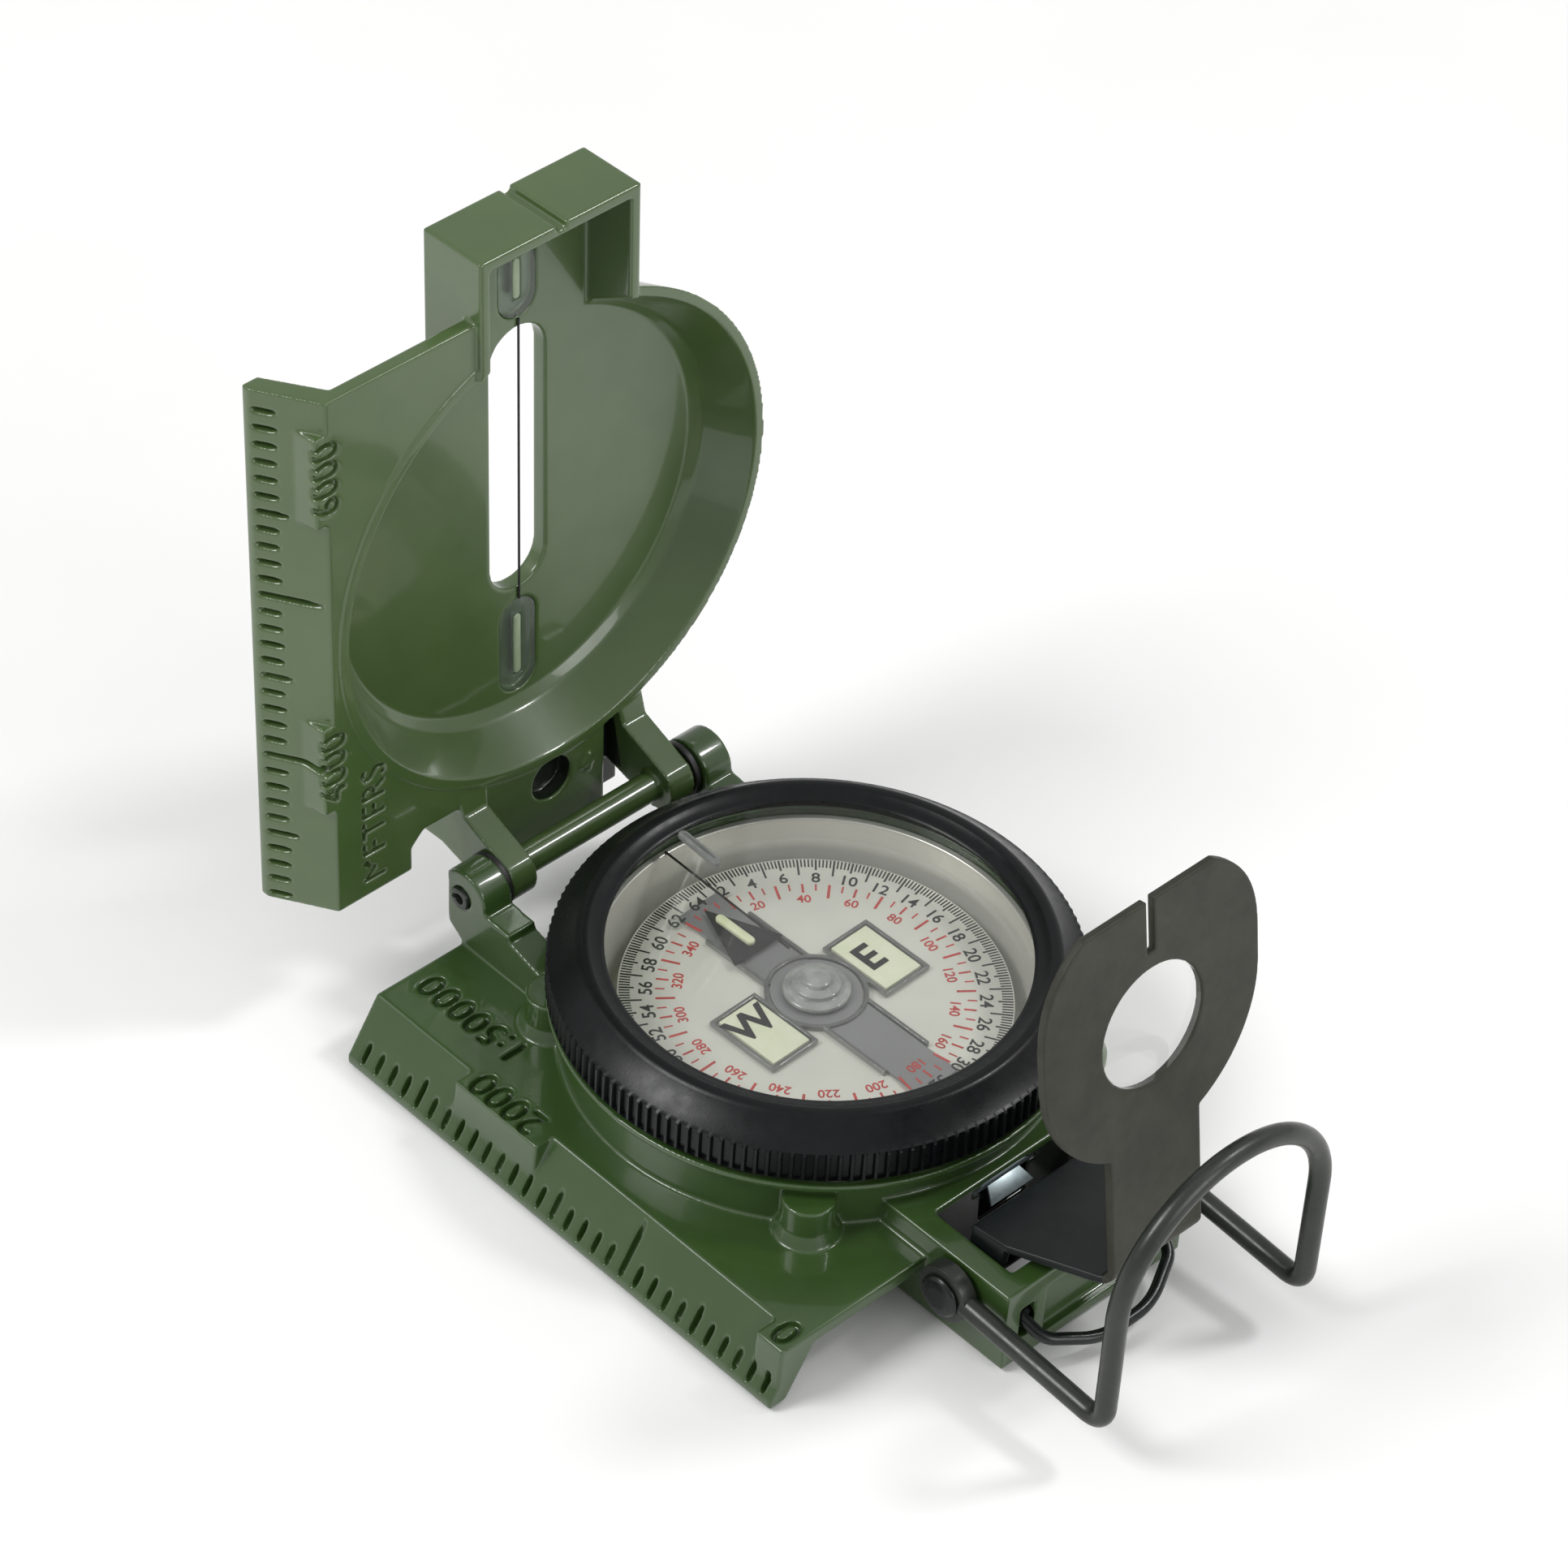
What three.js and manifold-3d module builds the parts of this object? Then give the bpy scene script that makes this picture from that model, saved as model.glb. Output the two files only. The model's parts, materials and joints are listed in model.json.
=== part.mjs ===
// Sighting compass with a folding cover, rotating bezel, floating dial, folding lens sight and thumb loop.
// Units are millimetres, +Z is up, +Y points from the lens sight to the cover hinge, and the straight
// edge with its scale is on the -X side. The origin lies on the underside, on the axis of the dial.
import * as THREE from 'three';
import { mergeVertices } from 'three/addons/utils/BufferGeometryUtils.js';
import Module from 'manifold-3d';

const wasm = await Module();
wasm.setup();
const { Manifold, Mesh: SolidMesh } = wasm;

// ---------------------------------------------------------------- driving dimensions
const ROUND = 60;                 // facets of the large circles
const SMALL = 20;                 // facets of the small circles
const FIT = 0.05;                 // gap around a piece that is glued or pressed in
const RUN = 0.3;                  // gap beside a piece that turns

const EDGE_X = -32.6;             // outer edge of both straight edges
const EDGE_Z = 1.0;               // height of the edge's upright face
const BEVEL_X = -28.8;            // inner end of the bevelled scale
const FLANGE_Z = 7.2;             // top of the base flange
const WALL = 1.6;                 // wall of the hollow castings
const FLANGE_REAR = -28.7;
const FLANGE_FRONT = 32.8;

const CASE_R = 25.4;
const COLLAR_Z = 13.5;            // top of the flared collar under the bezel
const COLLAR_R = 26.7;
const NECK_R = 23.6;              // neck that carries the bezel
const NECK_Z = 17.5;
const BORE_R = 22.6;              // bore that holds the well and the fixed crystal
const BORE_FLOOR = 6.0;

const HINGE_Y = 33.1;
const HINGE_Z = 13.1;
const HINGE_X = -0.6;             // middle of the hinge
const EAR_OUT = 16.9;
const EAR_IN = 13.3;
const EAR_R = 3.3;
const PIN_R = 1.2;
const ARM_OUT = 12.4;             // the cover's arms, between the ears
const ARM_IN = 9.1;
const KNUCKLE_R = 2.9;
const CAST_ROD_R = 1.6;           // cast rod between the arms
const COVER_ANGLE = 87.9;         // 0 is opened flat, 90 is upright

const BEZEL_R = 26.8;
const BEZEL_LOW = 14.1;
const KNURL_TOP = 17.9;
const BEZEL_TOP = 20.3;
const LIP_OUT = 23.7;
const LIP_IN = 21.1;
const GLASS_LOW = 18.1;
const GLASS_TOP = 19.4;

const WELL_LOW = 6.1;
const WELL_FLOOR = 8.2;
const WELL_TOP = 16.65;
const CRYSTAL_LOW = 16.8;
const DIAL_R = 19.65;
const DIAL_LOW = 12.7;
const DIAL_TOP = 13.1;
const MAGNET_THICK = 0.35;
const DIAL_TURN = 1.4;            // the dial's north lies this far left of the sighting line
const INDEX_TURN = -0.5;          // the index line on the fixed crystal
const BEZEL_TURN = -1.7;          // the bezel's luminous bar

const FRAME_X = 12.3;             // rear frame around the sight's axle
const FRAME_IN = 9.6;
const FRAME_Z = 10.0;
const FRAME_REAR = -39.5;
const WINDOW_REAR = -37.2;
const WINDOW_FRONT = -26.8;
const AXLE_Y = -33.0;
const AXLE_Z = 7.0;
const AXLE_R = 1.4;
const HEAD_X = 15.4;              // crown of the axle's domed heads

const SIGHT_ANGLE = 81.3;         // 0 is folded down on the bezel
const SIGHT_H = 14.2;             // plate's height above the axle when folded
const SHEET = 0.9;
const FOOT_U = 4.2;               // foot's distance ahead of the axle when folded
const SIGHT_R = 14.2;             // round plate around the lens
const LENS_U = 32.0;
const LENS_R = 6.6;
const SHOULDER_U = 36.0;          // where the plate's sides turn into its shoulders
const SIGHT_END = 46.4;           // the plate's straight top edge
const TOP_HALF = 8.5;
const LEVER_Y = -26.2;            // pivot of the dial's lock lever, in a pocket ahead of the window
const LEVER_Z = 8.6;
const LEVER_HALF = 2.9;
const LEVER_LEG = 2.3;
const LEVER_ANGLE = 40;           // drooping by this much from pointing straight back

const LOOP_WIRE = 1.1;            // radius of the thumb loop's wire
const LOOP_X = 13.75;
const LOOP_LEG = 20.9;
const LOOP_RISE = 25.4;

const BAIL_Y = -38.35;
const BAIL_Z = 5.0;
const BAIL_X = 9.3;
const BAIL_WIRE = 0.65;
const BAIL_ANGLE = -27;

const DISH_S = 33.1;              // centre of the cover's dish, measured from the hinge
const RIM_N = -5.1;               // cover depths are measured from the hinge, inside face up
const FLOOR_N = -11.0;
const BACK_N = -12.9;
const RIM_IN = 26.8;
const RIM_OUT = 27.9;
const FLOOR_R = 23.6;
const PLATE_N = -5.3;             // cover flange
const WEB_N = -5.2;               // raised web between the arms
const HOOD_N = -4.6;
const HOOD_X = 10.2;
const HOOD_S = 71.5;
const HOOD_WALL = 1.3;
const COVER_FLANGE_LOW = 1.2;
const COVER_FLANGE_TOP = 64.3;
const SLOT_HALF = 3.6;
const SLOT_LOW = 24.0;
const SLOT_TOP = 56.0;
const BASE_PADS = [[FLANGE_REAR, -25.0, -31.4], [6.5, 18.5, -31.0]];    // from y, to y, edge x
const COVER_PADS = [[50.0, 60.6, -30.2], [14.6, 25.4, -30.2]];          // from s, to s, edge x

// ---------------------------------------------------------------- geometry helpers
const rad = (degrees) => degrees * Math.PI / 180;
const vec = (x, y) => new THREE.Vector2(x, y);

// Closed indexed triangles without normals, ready for joining and cutting.
function clean(geometry) {
  const bare = geometry.clone();
  bare.deleteAttribute('normal');
  bare.deleteAttribute('uv');
  const merged = mergeVertices(bare, 1e-4);
  const index = merged.index.array;
  const kept = [];
  for (let i = 0; i < index.length; i += 3) {
    const [a, b, c] = [index[i], index[i + 1], index[i + 2]];
    if (a !== b && b !== c && c !== a) {
      kept.push(a, b, c);
    }
  }
  merged.setIndex(kept);
  return merged;
}

function solid(geometry) {
  const merged = clean(geometry);
  const vertProperties = new Float32Array(merged.attributes.position.array);
  const triVerts = new Uint32Array(merged.index.array);
  return new Manifold(new SolidMesh({ numProp: 3, vertProperties, triVerts }));
}

const join = (...solids) => solids.reduce((a, b) => a.add(b));
const cut = (body, ...tools) => tools.reduce((a, b) => a.subtract(b), body);

function box(x0, x1, y0, y1, z0, z1) {
  const geometry = new THREE.BoxGeometry(x1 - x0, y1 - y0, z1 - z0);
  geometry.translate((x0 + x1) / 2, (y0 + y1) / 2, (z0 + z1) / 2);
  return solid(geometry);
}

// A polygon of [x, y] points raised along +Z.
function prismZ(points, z0, z1, holes = [], curveSegments = 12) {
  const shape = points instanceof THREE.Shape ? points : new THREE.Shape(points.map(([x, y]) => vec(x, y)));
  holes.forEach((hole) => shape.holes.push(hole));
  const geometry = new THREE.ExtrudeGeometry(shape, { depth: z1 - z0, bevelEnabled: false, curveSegments });
  geometry.translate(0, 0, z0);
  return solid(geometry);
}

// A polygon of [y, z] points raised along +X.
function prismX(points, x0, x1, holes = [], curveSegments = 12) {
  const shape = points instanceof THREE.Shape ? points : new THREE.Shape(points.map(([y, z]) => vec(y, z)));
  holes.forEach((hole) => shape.holes.push(hole));
  const geometry = new THREE.ExtrudeGeometry(shape, { depth: x1 - x0, bevelEnabled: false, curveSegments });
  geometry.applyMatrix4(new THREE.Matrix4().set(0, 0, 1, x0, 1, 0, 0, 0, 0, 1, 0, 0, 0, 0, 0, 1));
  return solid(geometry);
}

// A polygon of [x, z] points raised along +Y.
function prismY(points, y0, y1) {
  const shape = new THREE.Shape(points.map(([x, z]) => vec(x, z)));
  const geometry = new THREE.ExtrudeGeometry(shape, { depth: y1 - y0, bevelEnabled: false });
  geometry.applyMatrix4(new THREE.Matrix4().set(1, 0, 0, 0, 0, 0, -1, y1, 0, 1, 0, 0, 0, 0, 0, 1));
  return solid(geometry);
}

// A closed profile of [radius, height] points turned about the Z axis through (cx, cy).
function turned(profile, cx = 0, cy = 0, facets = ROUND) {
  const points = [...profile, profile[0]].map(([r, z]) => vec(r, z));
  const geometry = new THREE.LatheGeometry(points, facets);
  geometry.rotateX(Math.PI / 2);
  geometry.translate(cx, cy, 0);
  let body = solid(geometry);
  if (body.volume() < 0) {
    const reversed = new THREE.LatheGeometry([...points].reverse(), facets);
    reversed.rotateX(Math.PI / 2);
    reversed.translate(cx, cy, 0);
    body = solid(reversed);
  }
  return body;
}

const disc = (r, z0, z1, cx = 0, cy = 0, facets = ROUND) =>
  turned([[0, z0], [r, z0], [r, z1], [0, z1]], cx, cy, facets);

const ring = (rIn, rOut, z0, z1, cx = 0, cy = 0, facets = ROUND) =>
  turned([[rIn, z0], [rOut, z0], [rOut, z1], [rIn, z1]], cx, cy, facets);

// A cylinder along X.
function rodX(r, x0, x1, y, z, facets = SMALL) {
  const geometry = new THREE.CylinderGeometry(r, r, x1 - x0, facets);
  geometry.rotateZ(Math.PI / 2);
  geometry.translate((x0 + x1) / 2, y, z);
  return solid(geometry);
}

function circlePath(cx, cy, r) {
  const path = new THREE.Path();
  path.absarc(cx, cy, r, 0, Math.PI * 2, true);
  return path;
}

// An obround outline, long in y.
function obround(halfWidth, y0, y1) {
  const shape = new THREE.Shape();
  shape.absarc(0, y0 + halfWidth, halfWidth, Math.PI, Math.PI * 2, false);
  shape.absarc(0, y1 - halfWidth, halfWidth, 0, Math.PI, false);
  return shape;
}

// Round wire along a curve.
function wire(curve, radius, steps, facets = 10) {
  const section = new THREE.Shape();
  for (let k = 0; k < facets; k += 1) {
    const turn = 2 * Math.PI * k / facets;
    section[k ? 'lineTo' : 'moveTo'](radius * Math.cos(turn), radius * Math.sin(turn));
  }
  section.closePath();
  return solid(new THREE.ExtrudeGeometry(section, { steps, extrudePath: curve, bevelEnabled: false }));
}

// A path of straight runs and arcs through corner points, each corner rounded to its own radius.
function rounded(points, radii) {
  const path = new THREE.CurvePath();
  let from = points[0];
  for (let i = 1; i < points.length - 1; i += 1) {
    const corner = points[i];
    const back = from.clone().sub(corner).normalize().multiplyScalar(radii[i - 1]);
    const ahead = points[i + 1].clone().sub(corner).normalize().multiplyScalar(radii[i - 1]);
    const enter = corner.clone().add(back);
    const leave = corner.clone().add(ahead);
    path.add(new THREE.LineCurve3(from, enter));
    path.add(new THREE.QuadraticBezierCurve3(enter, corner, leave));
    from = leave;
  }
  path.add(new THREE.LineCurve3(from, points[points.length - 1]));
  return path;
}

// ---------------------------------------------------------------- materials
const paint = (colour, roughness, metalness = 0) =>
  new THREE.MeshStandardMaterial({ color: colour, roughness, metalness });
const clear = (colour, opacity = 0.35) =>
  new THREE.MeshStandardMaterial({ color: colour, roughness: 0.05, transparent: true, opacity });

const material = {
  green: paint(0x3f5a34, 0.35),
  coverGreen: paint(0x465f3c, 0.35),
  black: paint(0x111312, 0.4),
  steel: paint(0x2b2e2b, 0.45, 0.8),
  sheet: paint(0x3b3d34, 0.55, 0.3),
  nickel: paint(0xb9b6ac, 0.3, 0.9),
  dial: paint(0xd8d6cb, 0.5),
  magnet: paint(0x77777a, 0.4, 0.6),
  lume: paint(0xcdd0a0, 0.5),
  glass: clear(0xe6efec),
  brass: paint(0xa98e56, 0.35, 0.9),
};

// ---------------------------------------------------------------- the base casting
const SLOPE = (FLANGE_Z - EDGE_Z) / (BEVEL_X - EDGE_X);

// The thin flange: an upright edge, a bevel for the scale and a level top, open underneath.
function baseFlange() {
  const outline = [
    [EDGE_X, 0], [EDGE_X, EDGE_Z], [BEVEL_X, FLANGE_Z], [-12, FLANGE_Z], [-12, FLANGE_Z - WALL],
    [BEVEL_X + 0.75, FLANGE_Z - WALL], [BEVEL_X + 0.75 - (FLANGE_Z - WALL) / SLOPE, 0],
  ];
  return prismY(outline, FLANGE_REAR, FLANGE_FRONT);
}

// One ear's side view: the boss around the hinge pin and the bar that runs back along the case.
function earShape() {
  const shape = new THREE.Shape();
  shape.absarc(HINGE_Y - 0.4, HINGE_Z + 0.1, EAR_R, rad(40), rad(160), false);
  shape.lineTo(HINGE_Y - 3.75, 13.0);
  shape.lineTo(26.0, 12.8);
  shape.lineTo(25.8, 12.1);
  shape.lineTo(21.5, 10.9);
  shape.lineTo(20.5, 10.9);
  shape.lineTo(20.5, 3.0);
  shape.lineTo(32.6, 3.0);
  shape.lineTo(32.8, FLANGE_Z);
  shape.lineTo(35.0, 8.8);
  shape.closePath();
  return shape;
}

// The hinge pieces of one side lie between two distances from the middle of the hinge.
const hingeSpan = (side, inner, outer) =>
  (side < 0 ? [HINGE_X - outer, HINGE_X - inner] : [HINGE_X + inner, HINGE_X + outer]);

function ear(side) {
  const [x0, x1] = hingeSpan(side, EAR_IN, EAR_OUT);
  const bore = rodX(PIN_R + FIT, x0 - 1, x1 + 1, HINGE_Y, HINGE_Z);
  return cut(prismX(earShape(), x0, x1), bore);
}

function stopLug(side) {
  const [x0, x1] = hingeSpan(side, 10.8, EAR_IN + 1);
  return prismX([[22, 3.0], [28.2, 3.0], [28.2, 7.2], [26.6, 8.6], [22, 8.6]], x0, x1);
}

// A level pad for a number, standing on a bevel and ending in a steep face.
function numberPad(y0, y1, edgeX, bevelZ, top) {
  const toe = edgeX - 0.25;
  const inset = 0.35;
  return prismY([[toe, bevelZ(toe)], [toe + inset, bevelZ(toe)], [BEVEL_X + inset, top], [edgeX, top]], y0, y1);
}

// Small round bosses on the collar, at the four diagonals.
function collarLug(angle) {
  const [x, y] = [26.0 * Math.sin(rad(angle)), 26.0 * Math.cos(rad(angle))];
  return disc(2.7, 6.0, 11.6, x, y, SMALL);
}

// The frame behind the case that holds the sight's axle: two cheeks, a rear wall and a front web.
function rearFrame() {
  const outer = box(-FRAME_X, FRAME_X, FRAME_REAR, -20, 0, FRAME_Z);
  const window = box(-FRAME_IN, FRAME_IN, WINDOW_REAR, WINDOW_FRONT, -1, FRAME_Z + 1);
  const pocket = box(-LEVER_HALF - RUN, LEVER_HALF + RUN, WINDOW_FRONT - 1, -24.9, 4.6, FRAME_Z + 1);
  const pivot = rodX(0.55, -LEVER_HALF - 1.6, LEVER_HALF + 1.6, LEVER_Y, LEVER_Z, 16);
  const bore = rodX(AXLE_R + FIT, -FRAME_X - 1, FRAME_X + 1, AXLE_Y, AXLE_Z);
  const step = box(-6.8, 6.8, FRAME_REAR - 1, FRAME_REAR + 1.0, 1.4, FRAME_Z - 2.2);
  const bails = [-1, 1].map((side) => {
    const [x0, x1] = side < 0 ? [-BAIL_X - 1, -6.7] : [6.7, BAIL_X + 1];
    return join(
      rodX(BAIL_WIRE + RUN, x0, x1, BAIL_Y, BAIL_Z, 16),
      box(side < 0 ? x0 : x1 - 1.9, side < 0 ? x0 + 1.9 : x1, FRAME_REAR - 1, BAIL_Y + 0.1, 3.0, 7.0),
    );
  });
  return cut(outer, window, pocket, pivot, bore, step, ...bails);
}

function baseCasting() {
  const caseBody = turned([
    [0, 0], [CASE_R - 0.8, 0], [CASE_R, 0.8], [CASE_R, 12.2], [COLLAR_R, 12.9], [COLLAR_R, COLLAR_Z],
    [NECK_R, COLLAR_Z], [NECK_R, NECK_Z], [BORE_R, NECK_Z], [BORE_R, BORE_FLOOR], [0, BORE_FLOOR],
  ]);
  const bridge = join(
    box(HINGE_X - EAR_OUT, HINGE_X + EAR_OUT, 10, 28.0, 3.0, FLANGE_Z),
    ear(-1), ear(1), stopLug(-1), stopLug(1),
  );
  const roomForWell = disc(BORE_R, BORE_FLOOR, 30);
  const roomForBezel = ring(NECK_R, 40, COLLAR_Z, 30);
  const frontOfBezel = box(-40, 40, 28.4, 60, COLLAR_Z - 6, 40);
  const bevelZ = (x) => EDGE_Z + (x - EDGE_X) * SLOPE;
  const pads = BASE_PADS.map(([y0, y1, edgeX]) => numberPad(y0, y1, edgeX, bevelZ, FLANGE_Z));
  const lugs = [-45, -135, 45, 135].map(collarLug);
  const sides = join(baseFlange(), bridge, rearFrame(), ...pads, ...lugs);
  const trimmed = cut(sides, roomForWell, cut(roomForBezel, frontOfBezel));
  const roomForArm = box(HINGE_X - ARM_OUT - RUN, -11, 28.2, 34, 0, FLANGE_Z + 1);
  return join(caseBody, cut(trimmed, roomForArm));
}

const hingePin = (side) => {
  const [x0, x1] = hingeSpan(side, ARM_IN + 0.9, EAR_OUT + 0.3);
  return cut(rodX(PIN_R, x0, x1, 0, 0), rodX(0.6, x0 - 1, x1 + 1, 0, 0, 12));
};

const hingeWasher = (side) => {
  const [x0, x1] = hingeSpan(side, ARM_OUT + 0.1, EAR_IN - 0.1);
  return cut(rodX(3.1, x0, x1, 0, 0), rodX(PIN_R + FIT, x0 - 1, x1 + 1, 0, 0));
};

// ---------------------------------------------------------------- inside the case
const dampingWell = () => turned([
  [0, WELL_LOW], [BORE_R - FIT, WELL_LOW], [BORE_R - FIT, WELL_TOP], [21.8, WELL_TOP],
  [20.7, WELL_FLOOR + 0.6], [20.2, WELL_FLOOR], [0, WELL_FLOOR],
]);

const pivotPost = () => turned([
  [0, WELL_FLOOR + FIT], [2.4, WELL_FLOOR + FIT], [2.4, 9.0], [0.8, 9.6], [0.8, 12.4], [0.08, 13.0], [0, 13.0],
], 0, 0, SMALL);

const fixedCrystal = () => disc(BORE_R - FIT, CRYSTAL_LOW, NECK_Z - 0.05);
const indexLine = () => box(-0.4, -0.14, 3.9, 22.1, CRYSTAL_LOW - 0.12, CRYSTAL_LOW - 0.03);
const bezelSpring = () => ring(24.2, 26.0, COLLAR_Z + 0.1, BEZEL_LOW - 0.2);

// ---------------------------------------------------------------- the bezel
const bezelRing = () => turned([
  [NECK_R + RUN, BEZEL_LOW], [BEZEL_R - 0.4, BEZEL_LOW], [BEZEL_R, BEZEL_LOW + 0.4], [BEZEL_R, KNURL_TOP - 0.3],
  [BEZEL_R - 0.4, KNURL_TOP], [LIP_OUT + 0.3, BEZEL_TOP - 0.3], [LIP_OUT - 0.3, BEZEL_TOP],
  [22.7, BEZEL_TOP], [22.4, BEZEL_TOP - 0.2], [LIP_IN + 0.2, GLASS_TOP + 0.3], [LIP_IN, GLASS_TOP + FIT],
  [22.45, GLASS_TOP + FIT], [22.45, NECK_Z + RUN], [NECK_R + RUN, NECK_Z + RUN],
]);
const bezelGlass = () => disc(22.4, GLASS_LOW, GLASS_TOP);
const bezelLume = () => box(-0.55, 0.55, 14.8, 20.9, GLASS_TOP + 0.03, GLASS_TOP + 0.75);

// ---------------------------------------------------------------- the floating dial
const dialDisc = () => prismZ(new THREE.Shape().absarc(0, 0, DIAL_R, 0, Math.PI * 2),
  DIAL_LOW, DIAL_TOP, [circlePath(0, 0, 2.3)], ROUND / 2);

function dialMagnet() {
  const low = DIAL_TOP + 0.03;
  const top = low + MAGNET_THICK;
  const bar = join(box(-2.6, 2.6, -17.6, 17.6, low, top), disc(4.6, low, top, 0, 0, 48));
  return cut(bar, disc(2.3, low - 1, low + 2, 0, 0, 48));
}

// The clear stepped cap that rides on the pivot.
const jewelCap = () => turned([
  [0, 13.35], [1.15, 12.1], [2.2, 12.1], [2.2, 13.78], [3.4, 13.78], [3.4, 14.25], [2.4, 14.4],
  [2.4, 14.9], [1.4, 15.05], [1.4, 15.45], [1.1, 15.6], [0, 15.6],
], 0, 0, 32);

const arrowPlate = () => prismZ([[-3.7, 7.7], [2.9, 7.7], [-0.4, 15.4]], 13.78, 14.0);
const arrowLume = () => box(-0.95, 0.05, 8.4, 13.6, 14.03, 14.75);
const letterPad = (side) => {
  const [x0, x1] = side < 0 ? [-10.3, -5.35] : [5.35, 10.3];
  return box(x0, x1, -4.4, 3.3, DIAL_TOP + 0.03, DIAL_TOP + 0.75);
};

// The clear moulded frame: ridges beside the magnet, a ring around the hub and a tray around each letter.
function dialFrame() {
  const low = DIAL_TOP + 0.03;
  const top = DIAL_TOP + 0.62;
  const both = (x0, x1, y0, y1) => join(box(x0, x1, y0, y1, low, top), box(-x1, -x0, y0, y1, low, top));
  const trays = cut(both(4.75, 10.95, -5.0, 3.9), both(5.1, 10.55, -4.6, 3.5));
  const aboveMagnet = low + MAGNET_THICK + FIT;
  const hub = cut(ring(4.75, 5.2, low, top, 0, 0, 48), box(-2.75, 2.75, -17, 17, low - 1, aboveMagnet));
  const ridges = cut(both(2.75, 3.15, -12.5, 12.5), disc(4.75, low - 1, top + 1));
  return join(hub, ridges, trays);
}

// ---------------------------------------------------------------- the lens sight, in its folded position
// Local y runs along the plate away from the axle, local z is up from the axle.
function sightPlate() {
  const shape = new THREE.Shape();
  const neck = 6.0;
  const spread = Math.asin(neck / SIGHT_R);
  shape.moveTo(-neck, FOOT_U - SHEET / 2);
  shape.lineTo(neck, FOOT_U - SHEET / 2);
  shape.absarc(0, LENS_U, SIGHT_R, -Math.PI / 2 + spread, 0, false);
  shape.lineTo(SIGHT_R, SHOULDER_U);
  shape.quadraticCurveTo(SIGHT_R, SIGHT_END - 3.2, TOP_HALF, SIGHT_END);
  shape.lineTo(-TOP_HALF, SIGHT_END);
  shape.quadraticCurveTo(-SIGHT_R, SIGHT_END - 3.2, -SIGHT_R, SHOULDER_U);
  shape.absarc(0, LENS_U, SIGHT_R, -Math.PI, -Math.PI / 2 - spread, false);
  shape.closePath();
  const plate = prismZ(shape, SIGHT_H - SHEET / 2, SIGHT_H + SHEET / 2, [], 16);
  const bore = disc(LENS_R, 0, 30, 0, LENS_U, 40);
  const slot = box(-0.5, 0.5, SIGHT_END - 6.0, SIGHT_END + 2, 0, 30);
  return cut(plate, bore, slot);
}

function rearSight() {
  const foot = new THREE.Shape([
    vec(-9.2, -1.1), vec(9.2, -1.1), vec(9.2, 3.4), vec(7.1, 10.4), vec(6.0, SIGHT_H), vec(-6.0, SIGHT_H),
    vec(-7.1, 10.4), vec(-9.2, 3.4),
  ]);
  const geometry = new THREE.ExtrudeGeometry(foot, { depth: SHEET, bevelEnabled: false });
  geometry.applyMatrix4(new THREE.Matrix4().set(
    1, 0, 0, 0, 0, 0, -1, FOOT_U + SHEET / 2, 0, 1, 0, 0, 0, 0, 0, 1));
  const tabs = [-1, 1].map((side) => {
    const shape = new THREE.Shape();
    shape.absarc(0, 0, 2.2, Math.PI / 2, Math.PI * 1.5, false);
    shape.lineTo(FOOT_U, -1.1);
    shape.lineTo(FOOT_U, 3.4);
    shape.closePath();
    const [x0, x1] = side < 0 ? [-9.2, -8.3] : [8.3, 9.2];
    return prismX(shape, x0, x1, [circlePath(0, 0, AXLE_R + 0.1)]);
  });
  return join(sightPlate(), solid(geometry), ...tabs);
}

const sightLens = () => turned([
  [0, SIGHT_H - 0.35], [LENS_R - FIT, SIGHT_H - 0.35], [LENS_R - FIT, SIGHT_H + 0.35],
  [LENS_R * 0.55, SIGHT_H + 0.62], [0, SIGHT_H + 0.75],
], 0, LENS_U, 40);

// The axle through the rear frame, with a domed head at each end.
function sightAxle() {
  const half = [[0, 0], [AXLE_R, 0], [AXLE_R, 14.75], [2.3, 14.75], [2.1, 15.1], [1.2, HEAD_X], [0, HEAD_X]];
  const one = turned(half, 0, 0, SMALL);
  const mirrored = turned(half.map(([r, z]) => [r, -z]), 0, 0, SMALL);
  const spin = (body) => body.rotate([0, 90, 0]);
  return spin(join(one, mirrored));
}

// ---------------------------------------------------------------- wire parts
// The thumb loop: two legs from the axle, then an upright arch.
function thumbLoop() {
  const back = -LOOP_LEG;
  const drop = -1.3;
  const spring = 13.0;
  const legs = (side) => rounded([
    new THREE.Vector3(side * LOOP_X, -2.4, 0),
    new THREE.Vector3(side * LOOP_X, back, drop),
    new THREE.Vector3(side * LOOP_X, back, spring),
  ], [2.4]);
  const arch = new THREE.CurvePath();
  const left = legs(-1);
  const right = legs(1);
  left.curves.forEach((curve) => arch.add(curve));
  const top = LOOP_RISE - spring;
  const lift = 0.5523;
  const V = (x, z) => new THREE.Vector3(x, back, z);
  arch.add(new THREE.CubicBezierCurve3(V(-LOOP_X, spring), V(-LOOP_X, spring + top * lift),
    V(-LOOP_X * lift, LOOP_RISE), V(0, LOOP_RISE)));
  arch.add(new THREE.CubicBezierCurve3(V(0, LOOP_RISE), V(LOOP_X * lift, LOOP_RISE),
    V(LOOP_X, spring + top * lift), V(LOOP_X, spring)));
  [...right.curves].reverse().forEach((curve) => {
    const flipped = curve instanceof THREE.LineCurve3
      ? new THREE.LineCurve3(curve.v2, curve.v1)
      : new THREE.QuadraticBezierCurve3(curve.v2, curve.v1, curve.v0);
    arch.add(flipped);
  });
  const eyes = [-1, 1].map((side) => {
    const x0 = side < 0 ? -LOOP_X - 0.85 : LOOP_X - 0.85;
    return cut(rodX(3.1, x0, x0 + 1.7, 0, 0), rodX(AXLE_R + 0.1, x0 - 1, x0 + 3, 0, 0));
  });
  return join(wire(arch, LOOP_WIRE, 72, 8), ...eyes);
}

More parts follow.
